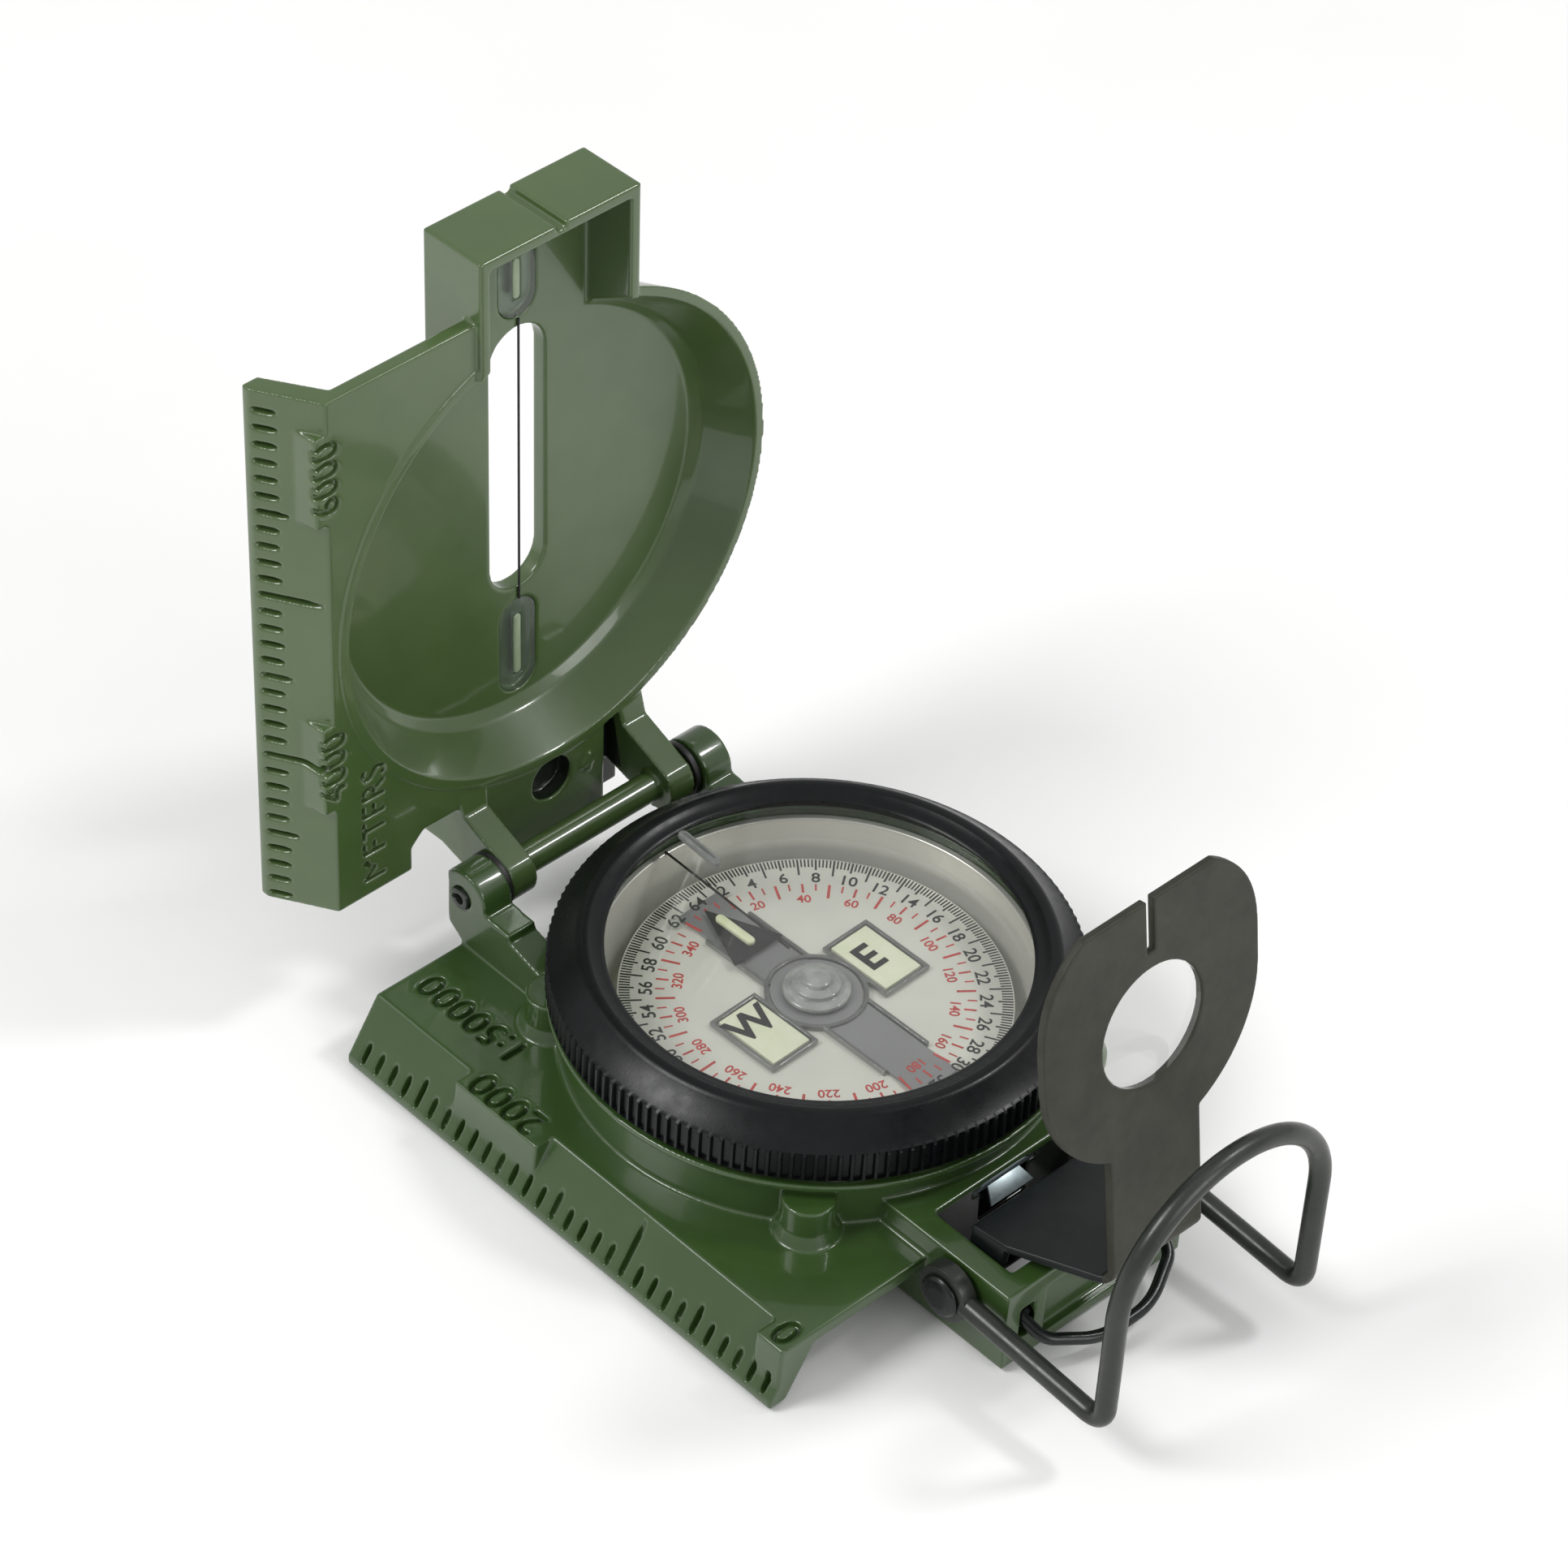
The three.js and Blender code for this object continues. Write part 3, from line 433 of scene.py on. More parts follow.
# ------------------------ materials
class Look:
    """A node material under construction, with short calls for the nodes that repeat."""

    def __init__(self, name):
        self.material = bpy.data.materials.new(name)
        self.material.use_nodes = True
        self.tree = self.material.node_tree
        self.tree.nodes.clear()
        self.out = self.add("ShaderNodeOutputMaterial")
        self.where = self.add("ShaderNodeTexCoord").outputs["Object"]

    def add(self, kind, **settings):
        node = self.tree.nodes.new(kind)
        for key, value in settings.items():
            setattr(node, key, value)
        return node

    def link(self, source, target):
        self.tree.links.new(source, target)

    def noise(self, size, detail=3.0, roughness=0.55):
        """Noise with features of about size millimetres."""
        node = self.add("ShaderNodeTexNoise")
        self.link(self.where, node.inputs["Vector"])
        node.inputs["Scale"].default_value = 1.0 / (size * MM)
        node.inputs["Detail"].default_value = detail
        node.inputs["Roughness"].default_value = roughness
        return node.outputs["Fac"]

    def remap(self, source, low, high, to_low, to_high):
        node = self.add("ShaderNodeMapRange")
        self.link(source, node.inputs["Value"])
        for key, value in (("From Min", low), ("From Max", high), ("To Min", to_low), ("To Max", to_high)):
            node.inputs[key].default_value = value
        return node.outputs["Result"]

    def mix(self, factor, first, second):
        node = self.add("ShaderNodeMix", data_type="RGBA")
        self.link(factor, node.inputs["Factor"])
        for key, value in (("A", first), ("B", second)):
            socket = [s for s in node.inputs if s.name == key and s.type == "RGBA"][0]
            if isinstance(value, tuple):
                socket.default_value = (*value, 1.0)
            else:
                self.link(value, socket)
        return [s for s in node.outputs if s.type == "RGBA"][0]

    def bump(self, source, height, strength):
        """Bumps of a given height in millimetres."""
        node = self.add("ShaderNodeBump")
        node.inputs["Strength"].default_value = strength
        node.inputs["Distance"].default_value = height * MM
        self.link(source, node.inputs["Height"])
        return node.outputs["Normal"]

    def surface(
        self, colour, roughness, normal=None, metallic=0.0, coat=0.0, coat_roughness=0.1, specular=0.5,
    ):
        """Ends the material; a colour or roughness is a fixed value or another node's output."""
        node = self.add("ShaderNodeBsdfPrincipled")
        for key, value in (("Base Color", colour), ("Roughness", roughness)):
            if isinstance(value, tuple):
                node.inputs[key].default_value = (*value, 1.0)
            elif isinstance(value, float):
                node.inputs[key].default_value = value
            else:
                self.link(value, node.inputs[key])
        node.inputs["Metallic"].default_value = metallic
        node.inputs["Coat Weight"].default_value = coat
        node.inputs["Coat Roughness"].default_value = coat_roughness
        node.inputs["Specular IOR Level"].default_value = specular
        if normal is not None:
            self.link(normal, node.inputs["Normal"])
        self.link(node.outputs["BSDF"], self.out.inputs["Surface"])
        return self.material


def enamel(name, light, deep):
    """Glossy enamel over a die casting: slight mottling and orange peel."""
    look = Look(name)
    mottle = look.remap(look.noise(9.0), 0.3, 0.7, 0.0, 1.0)
    body = look.mix(mottle, deep, light)
    roughness = look.remap(look.noise(3.0), 0.3, 0.7, 0.28, 0.38)
    normal = look.bump(look.noise(2.2, 1.0), 0.006, 0.35)
    return look.surface(body, roughness, normal, coat=0.6, coat_roughness=0.07)


def black_finish(name, colour, worn, roughness=(0.3, 0.45), grain=0.25, metallic=0.0, specular=0.5):
    """A dark satin finish, rubbed paler in small patches."""
    look = Look(name)
    tone = look.remap(look.noise(4.0), 0.3, 0.7, 0.0, 1.0)
    body = look.mix(tone, colour, tuple(c * 1.5 for c in colour))
    shade = look.mix(look.remap(look.noise(1.1, 5.0), 0.62, 0.80, 0.0, 0.6), body, worn)
    rough = look.remap(look.noise(1.2), 0.3, 0.7, roughness[0], roughness[1])
    normal = look.bump(look.noise(grain, 2.0), 0.012, 0.5)
    return look.surface(shade, rough, normal, metallic=metallic, specular=specular)


def satin_metal(name, colour, roughness, metallic=0.9, swirl=False):
    """Bare metal with fine scratches, round the axis where swirl is set."""
    look = Look(name)
    if swirl:
        split = look.add("ShaderNodeSeparateXYZ")
        look.link(look.where, split.inputs[0])
        radius = look.add("ShaderNodeVectorMath", operation="LENGTH")
        flat = look.add("ShaderNodeCombineXYZ")
        look.link(split.outputs[0], flat.inputs[0])
        look.link(split.outputs[1], flat.inputs[1])
        look.link(flat.outputs[0], radius.inputs[0])
        rings = look.add("ShaderNodeTexNoise", noise_dimensions="1D")
        look.link(radius.outputs["Value"], rings.inputs["W"])
        rings.inputs["Scale"].default_value = 1 / (0.22 * MM)
        fine = rings.outputs["Fac"]
    else:
        fine = look.noise(0.5, 4.0)
    tone = look.remap(look.noise(6.0), 0.3, 0.7, 0.0, 1.0)
    shade = look.mix(tone, tuple(c * 0.93 for c in colour), colour)
    rough = look.remap(fine, 0.3, 0.7, roughness[0], roughness[1])
    normal = look.bump(fine, 0.004, 0.5)
    return look.surface(shade, rough, normal, metallic=metallic)


def ink(name, colour):
    """Matt print, a little uneven."""
    look = Look(name)
    worn = tuple(c * 1.4 + 0.004 for c in colour)
    shade = look.mix(look.remap(look.noise(0.8), 0.35, 0.65, 0.0, 1.0), colour, worn)
    return look.surface(shade, 0.6, specular=0.15)


def luminous(name, colour, deep):
    """Pale luminous paint under a clear gloss."""
    look = Look(name)
    shade = look.mix(look.remap(look.noise(1.6), 0.3, 0.7, 0.0, 1.0), deep, colour)
    normal = look.bump(look.noise(0.3, 2.0), 0.01, 0.4)
    return look.surface(shade, 0.35, normal, coat=0.4)


def clear(name, tint, rim, gloss=1.45, rough=0.03, cloud=0.0):
    """Clear sheet or moulding: a thin tint, darker where it is seen edge on, and a glass-like gloss."""
    look = Look(name)
    facing = look.add("ShaderNodeLayerWeight")
    facing.inputs["Blend"].default_value = 0.35
    shade = look.mix(look.remap(facing.outputs["Facing"], 0.35, 1.0, 0.0, 1.0), tint, rim)
    through = look.add("ShaderNodeBsdfTransparent")
    look.link(shade, through.inputs["Color"])
    shine = look.add("ShaderNodeBsdfGlossy")
    shine.inputs["Color"].default_value = (1, 1, 1, 1)
    look.link(look.remap(look.noise(5.0), 0.3, 0.7, rough, rough * 1.6), shine.inputs["Roughness"])
    edge_on = look.add("ShaderNodeLayerWeight")
    edge_on.inputs["Blend"].default_value = 0.5
    steep = look.add("ShaderNodeMath", operation="POWER")
    look.link(edge_on.outputs["Facing"], steep.inputs[0])
    steep.inputs[1].default_value = 5.0
    blend = look.add("ShaderNodeMixShader")
    look.link(look.remap(steep.outputs[0], 0.0, 1.0, ((gloss - 1) / (gloss + 1)) ** 2, 1.0), blend.inputs[0])
    look.link(through.outputs[0], blend.inputs[1])
    look.link(shine.outputs[0], blend.inputs[2])
    last = blend.outputs[0]
    if cloud:
        haze = look.add("ShaderNodeBsdfDiffuse")
        haze.inputs["Color"].default_value = (0.9, 0.92, 0.9, 1)
        more = look.add("ShaderNodeMixShader")
        look.link(look.remap(look.noise(2.0), 0.3, 0.7, cloud * 0.7, cloud * 1.3), more.inputs[0])
        look.link(last, more.inputs[1])
        look.link(haze.outputs[0], more.inputs[2])
        last = more.outputs[0]
    look.link(last, look.out.inputs["Surface"])
    return look.material


BASE_GREEN = enamel("base_enamel", (0.034, 0.074, 0.016), (0.028, 0.062, 0.013))
COVER_GREEN = enamel("cover_enamel", (0.060, 0.104, 0.030), (0.050, 0.090, 0.025))
# Near-black enamel: painted shade for the sight window's inside and for the pocket beside the cover's web.
PAINTED_SHADE_ENAMEL = enamel("painted_shade_enamel", (0.008, 0.014, 0.007), (0.006, 0.010, 0.005))
BEZEL_BLACK = black_finish(
    "bezel_black", (0.0035, 0.004, 0.0045), (0.006, 0.008, 0.008), (0.26, 0.36), specular=0.24,
)
WASHER_BLACK = black_finish("washer_black", (0.008, 0.009, 0.008), (0.03, 0.03, 0.03), (0.4, 0.55))
BLACK_STEEL = black_finish(
    "blackened_steel", (0.005, 0.006, 0.006), (0.035, 0.035, 0.033), (0.22, 0.36), 0.3, 0.2,
)
PIN_STEEL = black_finish("pin_steel", (0.05, 0.055, 0.05), (0.2, 0.2, 0.19), (0.25, 0.4), 0.3, 0.8)
PHOSPHATE = black_finish(
    "phosphated_wire", (0.026, 0.029, 0.025), (0.05, 0.054, 0.048), (0.26, 0.38), 0.35, 0.4,
)
PLATE_COAT = black_finish(
    "sight_coating", (0.026, 0.026, 0.019), (0.034, 0.034, 0.026), (0.42, 0.52), 0.4, 0.0, 0.25,
)
# The sight's satin coating with its rubbed patches, made darker as painted shade for the foot, which is the
# same sheet as the plate.
FOOT_PAINTED_SHADE_COAT = black_finish(
    "sight_foot_painted_shade", (0.006, 0.008, 0.008), (0.012, 0.016, 0.016), (0.30, 0.40), 0.4, 0.0, 0.3,
)
LEAF_METAL = satin_metal("leaf_metal", (0.42, 0.50, 0.52), (0.3, 0.42))
WELL_METAL = satin_metal("well_metal", (0.86, 0.85, 0.80), (0.30, 0.42), 0.5, swirl=True)
DIAL_SILVER = satin_metal("dial_silver", (0.84, 0.83, 0.76), (0.38, 0.48), 0.35, swirl=True)
MAGNET_GREY = satin_metal("magnet_grey", (0.30, 0.30, 0.31), (0.35, 0.5), 0.5)
BRASS = satin_metal("turned_brass", (0.62, 0.47, 0.21), (0.25, 0.4))
SPRING_STEEL = satin_metal("spring_steel", (0.36, 0.36, 0.35), (0.3, 0.45))
BLACK_INK = ink("black_print", (0.004, 0.004, 0.004))
RED_INK = ink("red_print", (0.42, 0.035, 0.03))
LUME = luminous("luminous_paint", (0.86, 0.87, 0.62), (0.74, 0.78, 0.50))
PAD_LUME = luminous("pad_paint", (0.86, 0.86, 0.68), (0.76, 0.80, 0.58))
GLASS = clear("bezel_glass", (0.985, 0.99, 0.985), (0.80, 0.86, 0.84))
CRYSTAL = clear("crystal", (0.99, 0.99, 0.985), (0.85, 0.88, 0.86))
MOULDING = clear("clear_moulding", (0.995, 0.995, 0.99), (0.965, 0.97, 0.96), 2.0, 0.05, 0.10)
CAP_CLEAR = clear("cap_moulding", (0.99, 0.99, 0.985), (0.88, 0.89, 0.88), 2.6, 0.05, 0.30)
BAR_CLEAR = clear("bar_moulding", (0.66, 0.67, 0.66), (0.30, 0.32, 0.31), 1.7, 0.06, 0.14)
RESIN = clear("resin", (0.80, 0.86, 0.80), (0.50, 0.56, 0.50), 1.5, 0.08, 0.04)
VIAL_GLOW = luminous("vial_glow", (0.30, 0.36, 0.24), (0.24, 0.30, 0.19))
LENS = clear("lens", (0.995, 0.995, 0.99), (0.93, 0.94, 0.93), 1.35)


# ------------------------ scales on the two flanges
BEVEL_TOP = {"base": FLANGE_Z, "cover": PLATE_N}
BEVEL_FOOT = {"base": 0.0, "cover": BACK_N}


def groove(which, y, length):
    """The tool for one tick: a wedge across the bevel, widest and deepest at the outer edge."""
    foot = Vector((EDGE_X, BEVEL_FOOT[which] + EDGE_RISE))
    top = Vector((BEVEL_X, BEVEL_TOP[which]))
    along = (top - foot).normalized()
    out = Vector((-along.y, along.x))
    stations = (  # reach along the bevel, share of the width, share of the depth
        (0.12, 0.45, 0.05), (0.5, 0.95, 1.0), (0.7 * length, 1.0, 1.0),
        (length - 0.3, 0.6, 0.7), (length, 0.2, 0.05),
    )
    points = []
    for reach, wide, deep in stations:
        spot = foot + along * reach
        width = TICK_WIDTH * wide
        for lift, half in ((1.2, width * 1.1), (0.0, width / 2), (-TICK_DEPTH * deep, width * 0.18)):
            at = spot + out * lift
            points += [(at.x, y - half, at.y), (at.x, y + half, at.y)]
    faces = []
    for k in range(len(stations) - 1):
        a, b = 6 * k, 6 * k + 6
        faces += [(a, a + 1, b + 1, b), (a + 4, b + 4, b + 5, a + 5)]
        faces += [(a, b, b + 2, a + 2), (a + 2, b + 2, b + 4, a + 4)]
        faces += [(a + 1, a + 3, b + 3, b + 1), (a + 3, a + 5, b + 5, b + 3)]
    for k in (0, 6 * (len(stations) - 1)):
        faces += [(k, k + 2, k + 3, k + 1), (k + 2, k + 4, k + 5, k + 3)]
    return make("groove", points, faces)


def scale_ticks(which, place, first, last, long_ones, pads):
    """All ticks of a scale; place(n) gives where tick n lies."""
    bevel = math.hypot(BEVEL_X - EDGE_X, BEVEL_TOP[which] - BEVEL_FOOT[which] - EDGE_RISE)
    tools = []
    for n in range(first, last + 1):
        share = 0.38
        if n % 5 == 0 and not any(a < place(n) < b for a, b, _ in pads):
            share = 0.5
        if n in long_ones:
            share = 0.93
        tools.append(groove(which, place(n), bevel * share))
    return tools


def number_pad(which, y0, y1, edge):
    """A level pad for a number, standing on the bevel and ending in a steep face."""
    top = BEVEL_TOP[which]
    steep = (top - BEVEL_FOOT[which] - EDGE_RISE) / (BEVEL_X - EDGE_X)
    toe = edge - 0.25
    low = BEVEL_FOOT[which] + EDGE_RISE + (toe - EDGE_X) * steep
    return prism([(toe, low), (toe + 0.35, low), (BEVEL_X + 0.35, top), (edge, top)], "y", y0, y1)


def flange(which, y0, y1, inner_x):
    foot, top = BEVEL_FOOT[which], BEVEL_TOP[which]
    slope = (FLANGE_Z - EDGE_RISE) / (BEVEL_X - EDGE_X)
    under = top - WALL
    outline = [
        (EDGE_X, foot), (EDGE_X, foot + EDGE_RISE), (BEVEL_X, top), (inner_x, top), (inner_x, under),
        (BEVEL_X + BEVEL_WALL, under), (BEVEL_X + BEVEL_WALL - (under - foot) / slope, foot),
    ]
    return prism(outline, "y", y0, y1)


def engraving(which, text, x, y, height, weight=0.03):
    """The tool for numbers or letters sunk into a flange, reading along it."""
    place = (x, y, BEVEL_TOP[which] - ENGRAVED + 1.0)
    return lettering(text, height, place, (0, 1, 0), (-1, 0, 0), 2.0, weight)


# ------------------------ the base
BASE_PADS = [(FLANGE_REAR, -25.0, -31.4), (6.5, 18.5, -31.0)]
COVER_PADS = [(50.0, 60.6, -30.2), (14.6, 25.4, -30.2)]


def hinge_span(side, inner, outer):
    """The hinge pieces of one side lie between two distances from the middle of the hinge."""
    return (HINGE_X - outer, HINGE_X - inner) if side < 0 else (HINGE_X + inner, HINGE_X + outer)


def ear(side):
    x0, x1 = hinge_span(side, EAR_IN, EAR_OUT)
    outline = arc(HINGE.y - 0.4, HINGE.z + 0.1, EAR_R, 40, 160, 28)
    outline += [(HINGE.y - 3.75, 13.0), (26.0, 12.8), (25.8, 12.1), (21.5, 10.9), (20.5, 10.9), (20.5, 3.0)]
    outline += [(32.6, 3.0), (32.8, FLANGE_Z), (35.0, 8.8)]
    return prism(outline, "x", x0, x1)


def stop_lug(side):
    x0, x1 = hinge_span(side, 10.8, EAR_IN + 1)
    return prism([(22, 3.0), (28.2, 3.0), (28.2, 7.2), (26.6, 8.6), (22, 8.6)], "x", x0, x1)


def base_case():
    case = turned([
        (0, 0), (CASE_R - 0.8, 0), (CASE_R, 0.8), (CASE_R, 12.0), (COLLAR_R, 12.8), (COLLAR_R, COLLAR_Z),
        (NECK_R, COLLAR_Z), (NECK_R, NECK_Z), (BORE_R, NECK_Z), (BORE_R, BORE_FLOOR), (0, BORE_FLOOR),
    ])
    lugs = []
    for degrees in (-45, -135, 45, 135):
        turn = math.radians(degrees)
        centre = (LUG_RING * math.sin(turn), LUG_RING * math.cos(turn))
        post = [(0, 6.0), (3.3, 6.0), (3.3, 7.4), (2.9, 8.2), (2.7, 8.5), (2.7, 11.6), (0, 11.6)]
        lugs.append(turned(post, centre, 40))
    rear = block(-FRAME_X, FRAME_X, FRAME_REAR, -20, 0.02, FRAME_Z)
    sides = join(
        flange("base", FLANGE_REAR, FLANGE_FRONT, -12.0),
        *[number_pad("base", *pad) for pad in BASE_PADS],
        block(HINGE_X - EAR_OUT, HINGE_X + EAR_OUT, 10, 28.0, 3.0, FLANGE_Z - 0.02),
        ear(-1), ear(1), stop_lug(-1), stop_lug(1), rear, *lugs,
    )
    room = turned([(NECK_R, COLLAR_Z), (40, COLLAR_Z), (40, 30), (NECK_R, 30)])
    cut(room, block(-41, 41, 28.4, 60, COLLAR_Z - 6, 40))
    cut(sides, room, disc(BORE_R, BORE_FLOOR, 30))
    cut(sides, block(HINGE_X - ARM_OUT - RUN, -11, 28.2, 34, 0, FLANGE_Z + 1))
    body = join(case, sides)
    window = block(-FRAME_IN, FRAME_IN, WINDOW_REAR, WINDOW_FRONT, -1, FRAME_Z + 1)
    pocket = block(-3.2, 3.2, WINDOW_FRONT - 1, -24.9, 4.6, LEVER.z + 0.65)
    socket = rod_x(0.55, -4.5, 4.5, LEVER.y, LEVER.z)
    step = block(-6.8, 6.8, FRAME_REAR - 1, FRAME_REAR + 1.0, 1.4, FRAME_Z - 2.2)
    tools = [window, pocket, socket, step]
    tools.append(rod_x(1.45, -FRAME_X - 1, FRAME_X + 1, AXLE.y, AXLE.z))
    tools.append(rod_x(PIN_R + FIT, -EAR_OUT - 3, EAR_OUT + 1, HINGE.y, HINGE.z))
    for side in (-1, 1):
        x0, x1 = sorted((side * 6.7, side * 10.3))
        tools.append(rod_x(0.95, x0, x1, BAIL.y, BAIL.z))
        y0, y1 = FRAME_REAR - 1, BAIL.y + 0.1
        x0, x1 = sorted((side * 8.4, side * 10.3))
        tools.append(block(x0, x1, y0, y1, 3.0, 7.0))
    tools += scale_ticks("base", lambda n: SCALE_ZERO + TICK * n, 0, 29, (10,), BASE_PADS)
    tools.append(engraving("base", "0", -29.2, -26.9, 3.4))
    tools.append(engraving("base", "2000", -29.1, 12.85, 3.4))
    tools.append(engraving("base", "1:50000", -23.85, 23.9, 3.3))
    cut(body, *tools)
    cast(body, 0.17, 0.20, 0.17)

    # Painted shade: faces inside the sight window take the near-black enamel, where shade falls.
    def in_window(at):
        along = WINDOW_REAR - 0.1 < at.y < WINDOW_FRONT + 1.9
        return abs(at.x) < FRAME_IN + 0.1 and along and 1.0 < at.z < FRAME_Z - 0.7
    painted_shade_faces = faces_where(body, in_window)
    settle(body, "base_case", "case", BASE_GREEN, replaces=("base_casting",), smooth=None)
    second_coat(body, PAINTED_SHADE_ENAMEL, painted_shade_faces)


# ------------------------ the cover, in its own frame
def cover_arm(side):
    x0, x1 = hinge_span(side, ARM_IN, ARM_OUT)
    outline = arc(0, 0, KNUCKLE_R, 40, 210, 28)
    outline += [(-0.5, -8.0), (-0.5, BACK_N + 0.4), (9.0, BACK_N + 0.4)]
    outline += [(9.0, PLATE_N - 0.4), (5.0, PLATE_N + 0.7)]
    return prism(outline, "x", x0, x1)


def cover_shell():
    dish = turned([
        (0, BACK_N), (RIM_OUT - 2.9, BACK_N), (RIM_OUT - 2.2, BACK_N + 1.0), (RIM_OUT, RIM_N),
        (RIM_IN, RIM_N), (FLOOR_R + 0.5, FLOOR_N + 0.9), (FLOOR_R - 0.6, FLOOR_N), (0, FLOOR_N),
    ], (0, DISH_S))
    dish_room = turned([
        (0, FLOOR_N), (FLOOR_R - 0.6, FLOOR_N), (FLOOR_R + 0.5, FLOOR_N + 0.9), (RIM_IN, RIM_N),
        (RIM_IN, 5), (0, 5),
    ], (0, DISH_S))
    pads = [number_pad("cover", *pad) for pad in COVER_PADS]
    plate = join(flange("cover", COVER_LOW, COVER_TOP, -6), *pads)
    ear_room = prism([(-19.2, -1), (0, -1), (0, 5.6), (-17.6, 5.6), (-19.2, 4.0)], "z", -20, 0)
    cut(plate, ear_room)
    hood = block(-HOOD_X, HOOD_X, DISH_S, HOOD_S, BACK_N + 0.02, HOOD_N)
    hood_room = block(-HOOD_X + HOOD_WALL, HOOD_X - HOOD_WALL, DISH_S, HOOD_S - HOOD_WALL, FLOOR_N + 0.01, 5)
    back = block(HINGE_X - ARM_OUT, HINGE_X + ARM_OUT, 0.2, 12, BACK_N + 0.4, BACK_N + 2.4)
    left = HINGE_X - ARM_IN - 0.2
    web = join(
        block(left, WEB_X, -4.7, 9, -8.2, WEB_N), block(left, WEB_X, 0.2, 9, BACK_N + 0.4, WEB_N - 0.02),
    )
    # A slab that floors the pocket beside the web; its faces there carry painted shade.
    behind = block(left, HINGE_X + ARM_IN + 1.8, -4.7, 9, -8.18, -7.4)
    cut(web, disc(RECESS_R, WEB_N - 1.9, 0, RECESS, 48))
    mark = lettering("4", 2.2, (4.1, 2.3, WEB_N), (1, 0, 0), (0, 1, 0), 0.6, weight=0.06)
    rod = rod_x(1.6, left, HINGE_X + ARM_IN + 0.2, 0, 0)
    shell = join(dish, plate, hood, cover_arm(-1), cover_arm(1), back, behind, web, rod, mark)
    tools = [dish_room, hood_room, prism(obround(SLOT_HALF, SLOT_LOW, SLOT_TOP), "z", -20, 5)]
    tools.append(block(-0.6, 0.6, HOOD_S - 0.7, HOOD_S + 1, BACK_N - 1, HOOD_N + 1))
    for s0, s1 in VIALS.values():
        tools.append(prism(obround(2.4, s0, s1), "z", FLOOR_N - 0.9, 5))
    for side in (-1, 1):
        x0, x1 = hinge_span(side, ARM_IN + 0.6, ARM_OUT + 1)
        tools.append(rod_x(PIN_R + 0.08, x0, x1, 0, 0))
    tools += scale_ticks("cover", lambda n: COVER_TICK_50 + TICK * (n - 50), 31, 61, (40, 50), COVER_PADS)
    tools.append(engraving("cover", "6000", -28.9, 55.4, 3.2))
    tools.append(engraving("cover", "4000", -28.9, 20.0, 3.2))
    tools.append(engraving("cover", "METERS", -24.0, 10.2, 3.2, weight=0.0))
    cut(shell, *tools)
    cast(shell, 0.17, 0.20, 0.17)

    # Painted shade: faces in the pocket beside the web and in the web's round recess take the near-black
    # enamel, where shade falls.
    def in_pocket(at):
        beside_web = WEB_X - 0.1 < at.x < HINGE_X + ARM_IN + 1.9 and -4.9 < at.y < 5.0 and at.z < WEB_N - 0.5
        in_recess = math.hypot(at.x - RECESS[0], at.y - RECESS[1]) < RECESS_R + 0.1
        return beside_web or in_recess and WEB_N - 2 < at.z < WEB_N - 0.35
    painted_shade_faces = faces_where(shell, in_pocket)
    settle(shell, "cover_shell", "cover", COVER_GREEN, COVER_FRAME, ("cover_casting",), None)
    second_coat(shell, PAINTED_SHADE_ENAMEL, painted_shade_faces)


def cover_fittings():
    wire = tube([(0, s, FLOOR_N + 0.16) for s in (SLOT_LOW - 1.5, 40, SLOT_TOP + 1.1)], 0.13, 10)
    settle(wire, "hair_wire", "cover", WASHER_BLACK, COVER_FRAME, ("sighting_wire",))
    for word, (s0, s1) in VIALS.items():
        fill = prism(obround(2.35, s0 + FIT, s1 - FIT), "z", FLOOR_N - 0.85, FLOOR_N - 0.05)
        cut(fill, block(-0.6, 0.6, s0 + 2.0, s1 - 2.0, FLOOR_N - 0.5, FLOOR_N + 1))
        soften(fill, 0.12, 3)
        settle(fill, f"{word}_resin_fill", "cover", RESIN, COVER_FRAME, (f"{word}_resin",))
        vial = bar(0.48, 0.25, s0 + 2.1, s1 - 2.1, FLOOR_N - 0.45, FLOOR_N - 0.03)
        settle(vial, f"{word}_glow_vial", "cover", VIAL_GLOW, COVER_FRAME, (f"{word}_vial",))


# ------------------------ hinge hardware
def hinge_hardware():
    for side, word in ((-1, "left"), (1, "right")):
        x0, x1 = hinge_span(side, ARM_IN + 0.9, EAR_OUT + 0.3)
        outer = arc(0, 0, PIN_R, 12, 348, 40)
        inner = arc(0, 0, 0.6, 348 - 20, 32, 30)
        coil = prism(outer + inner, "x", x0, x1)
        soften(coil, 0.12, 2)
        place = Matrix.Translation(HINGE)
        settle(coil, f"rolled_pin_{word}", "case", PIN_STEEL, place, (f"hinge_pin_{word}",))
        x0, x1 = hinge_span(side, ARM_OUT + 0.1, EAR_IN - 0.1)
        ring = prism(circle(0, 0, 3.1, 64), "x", x0, x1)
        cut(ring, rod_x(PIN_R + FIT, x0 - 1, x1 + 1, 0, 0))
        soften(ring, 0.12, 2)
        washer = (f"hinge_washer_{word}",)
        settle(ring, f"black_washer_{word}", "case", WASHER_BLACK, place, washer)


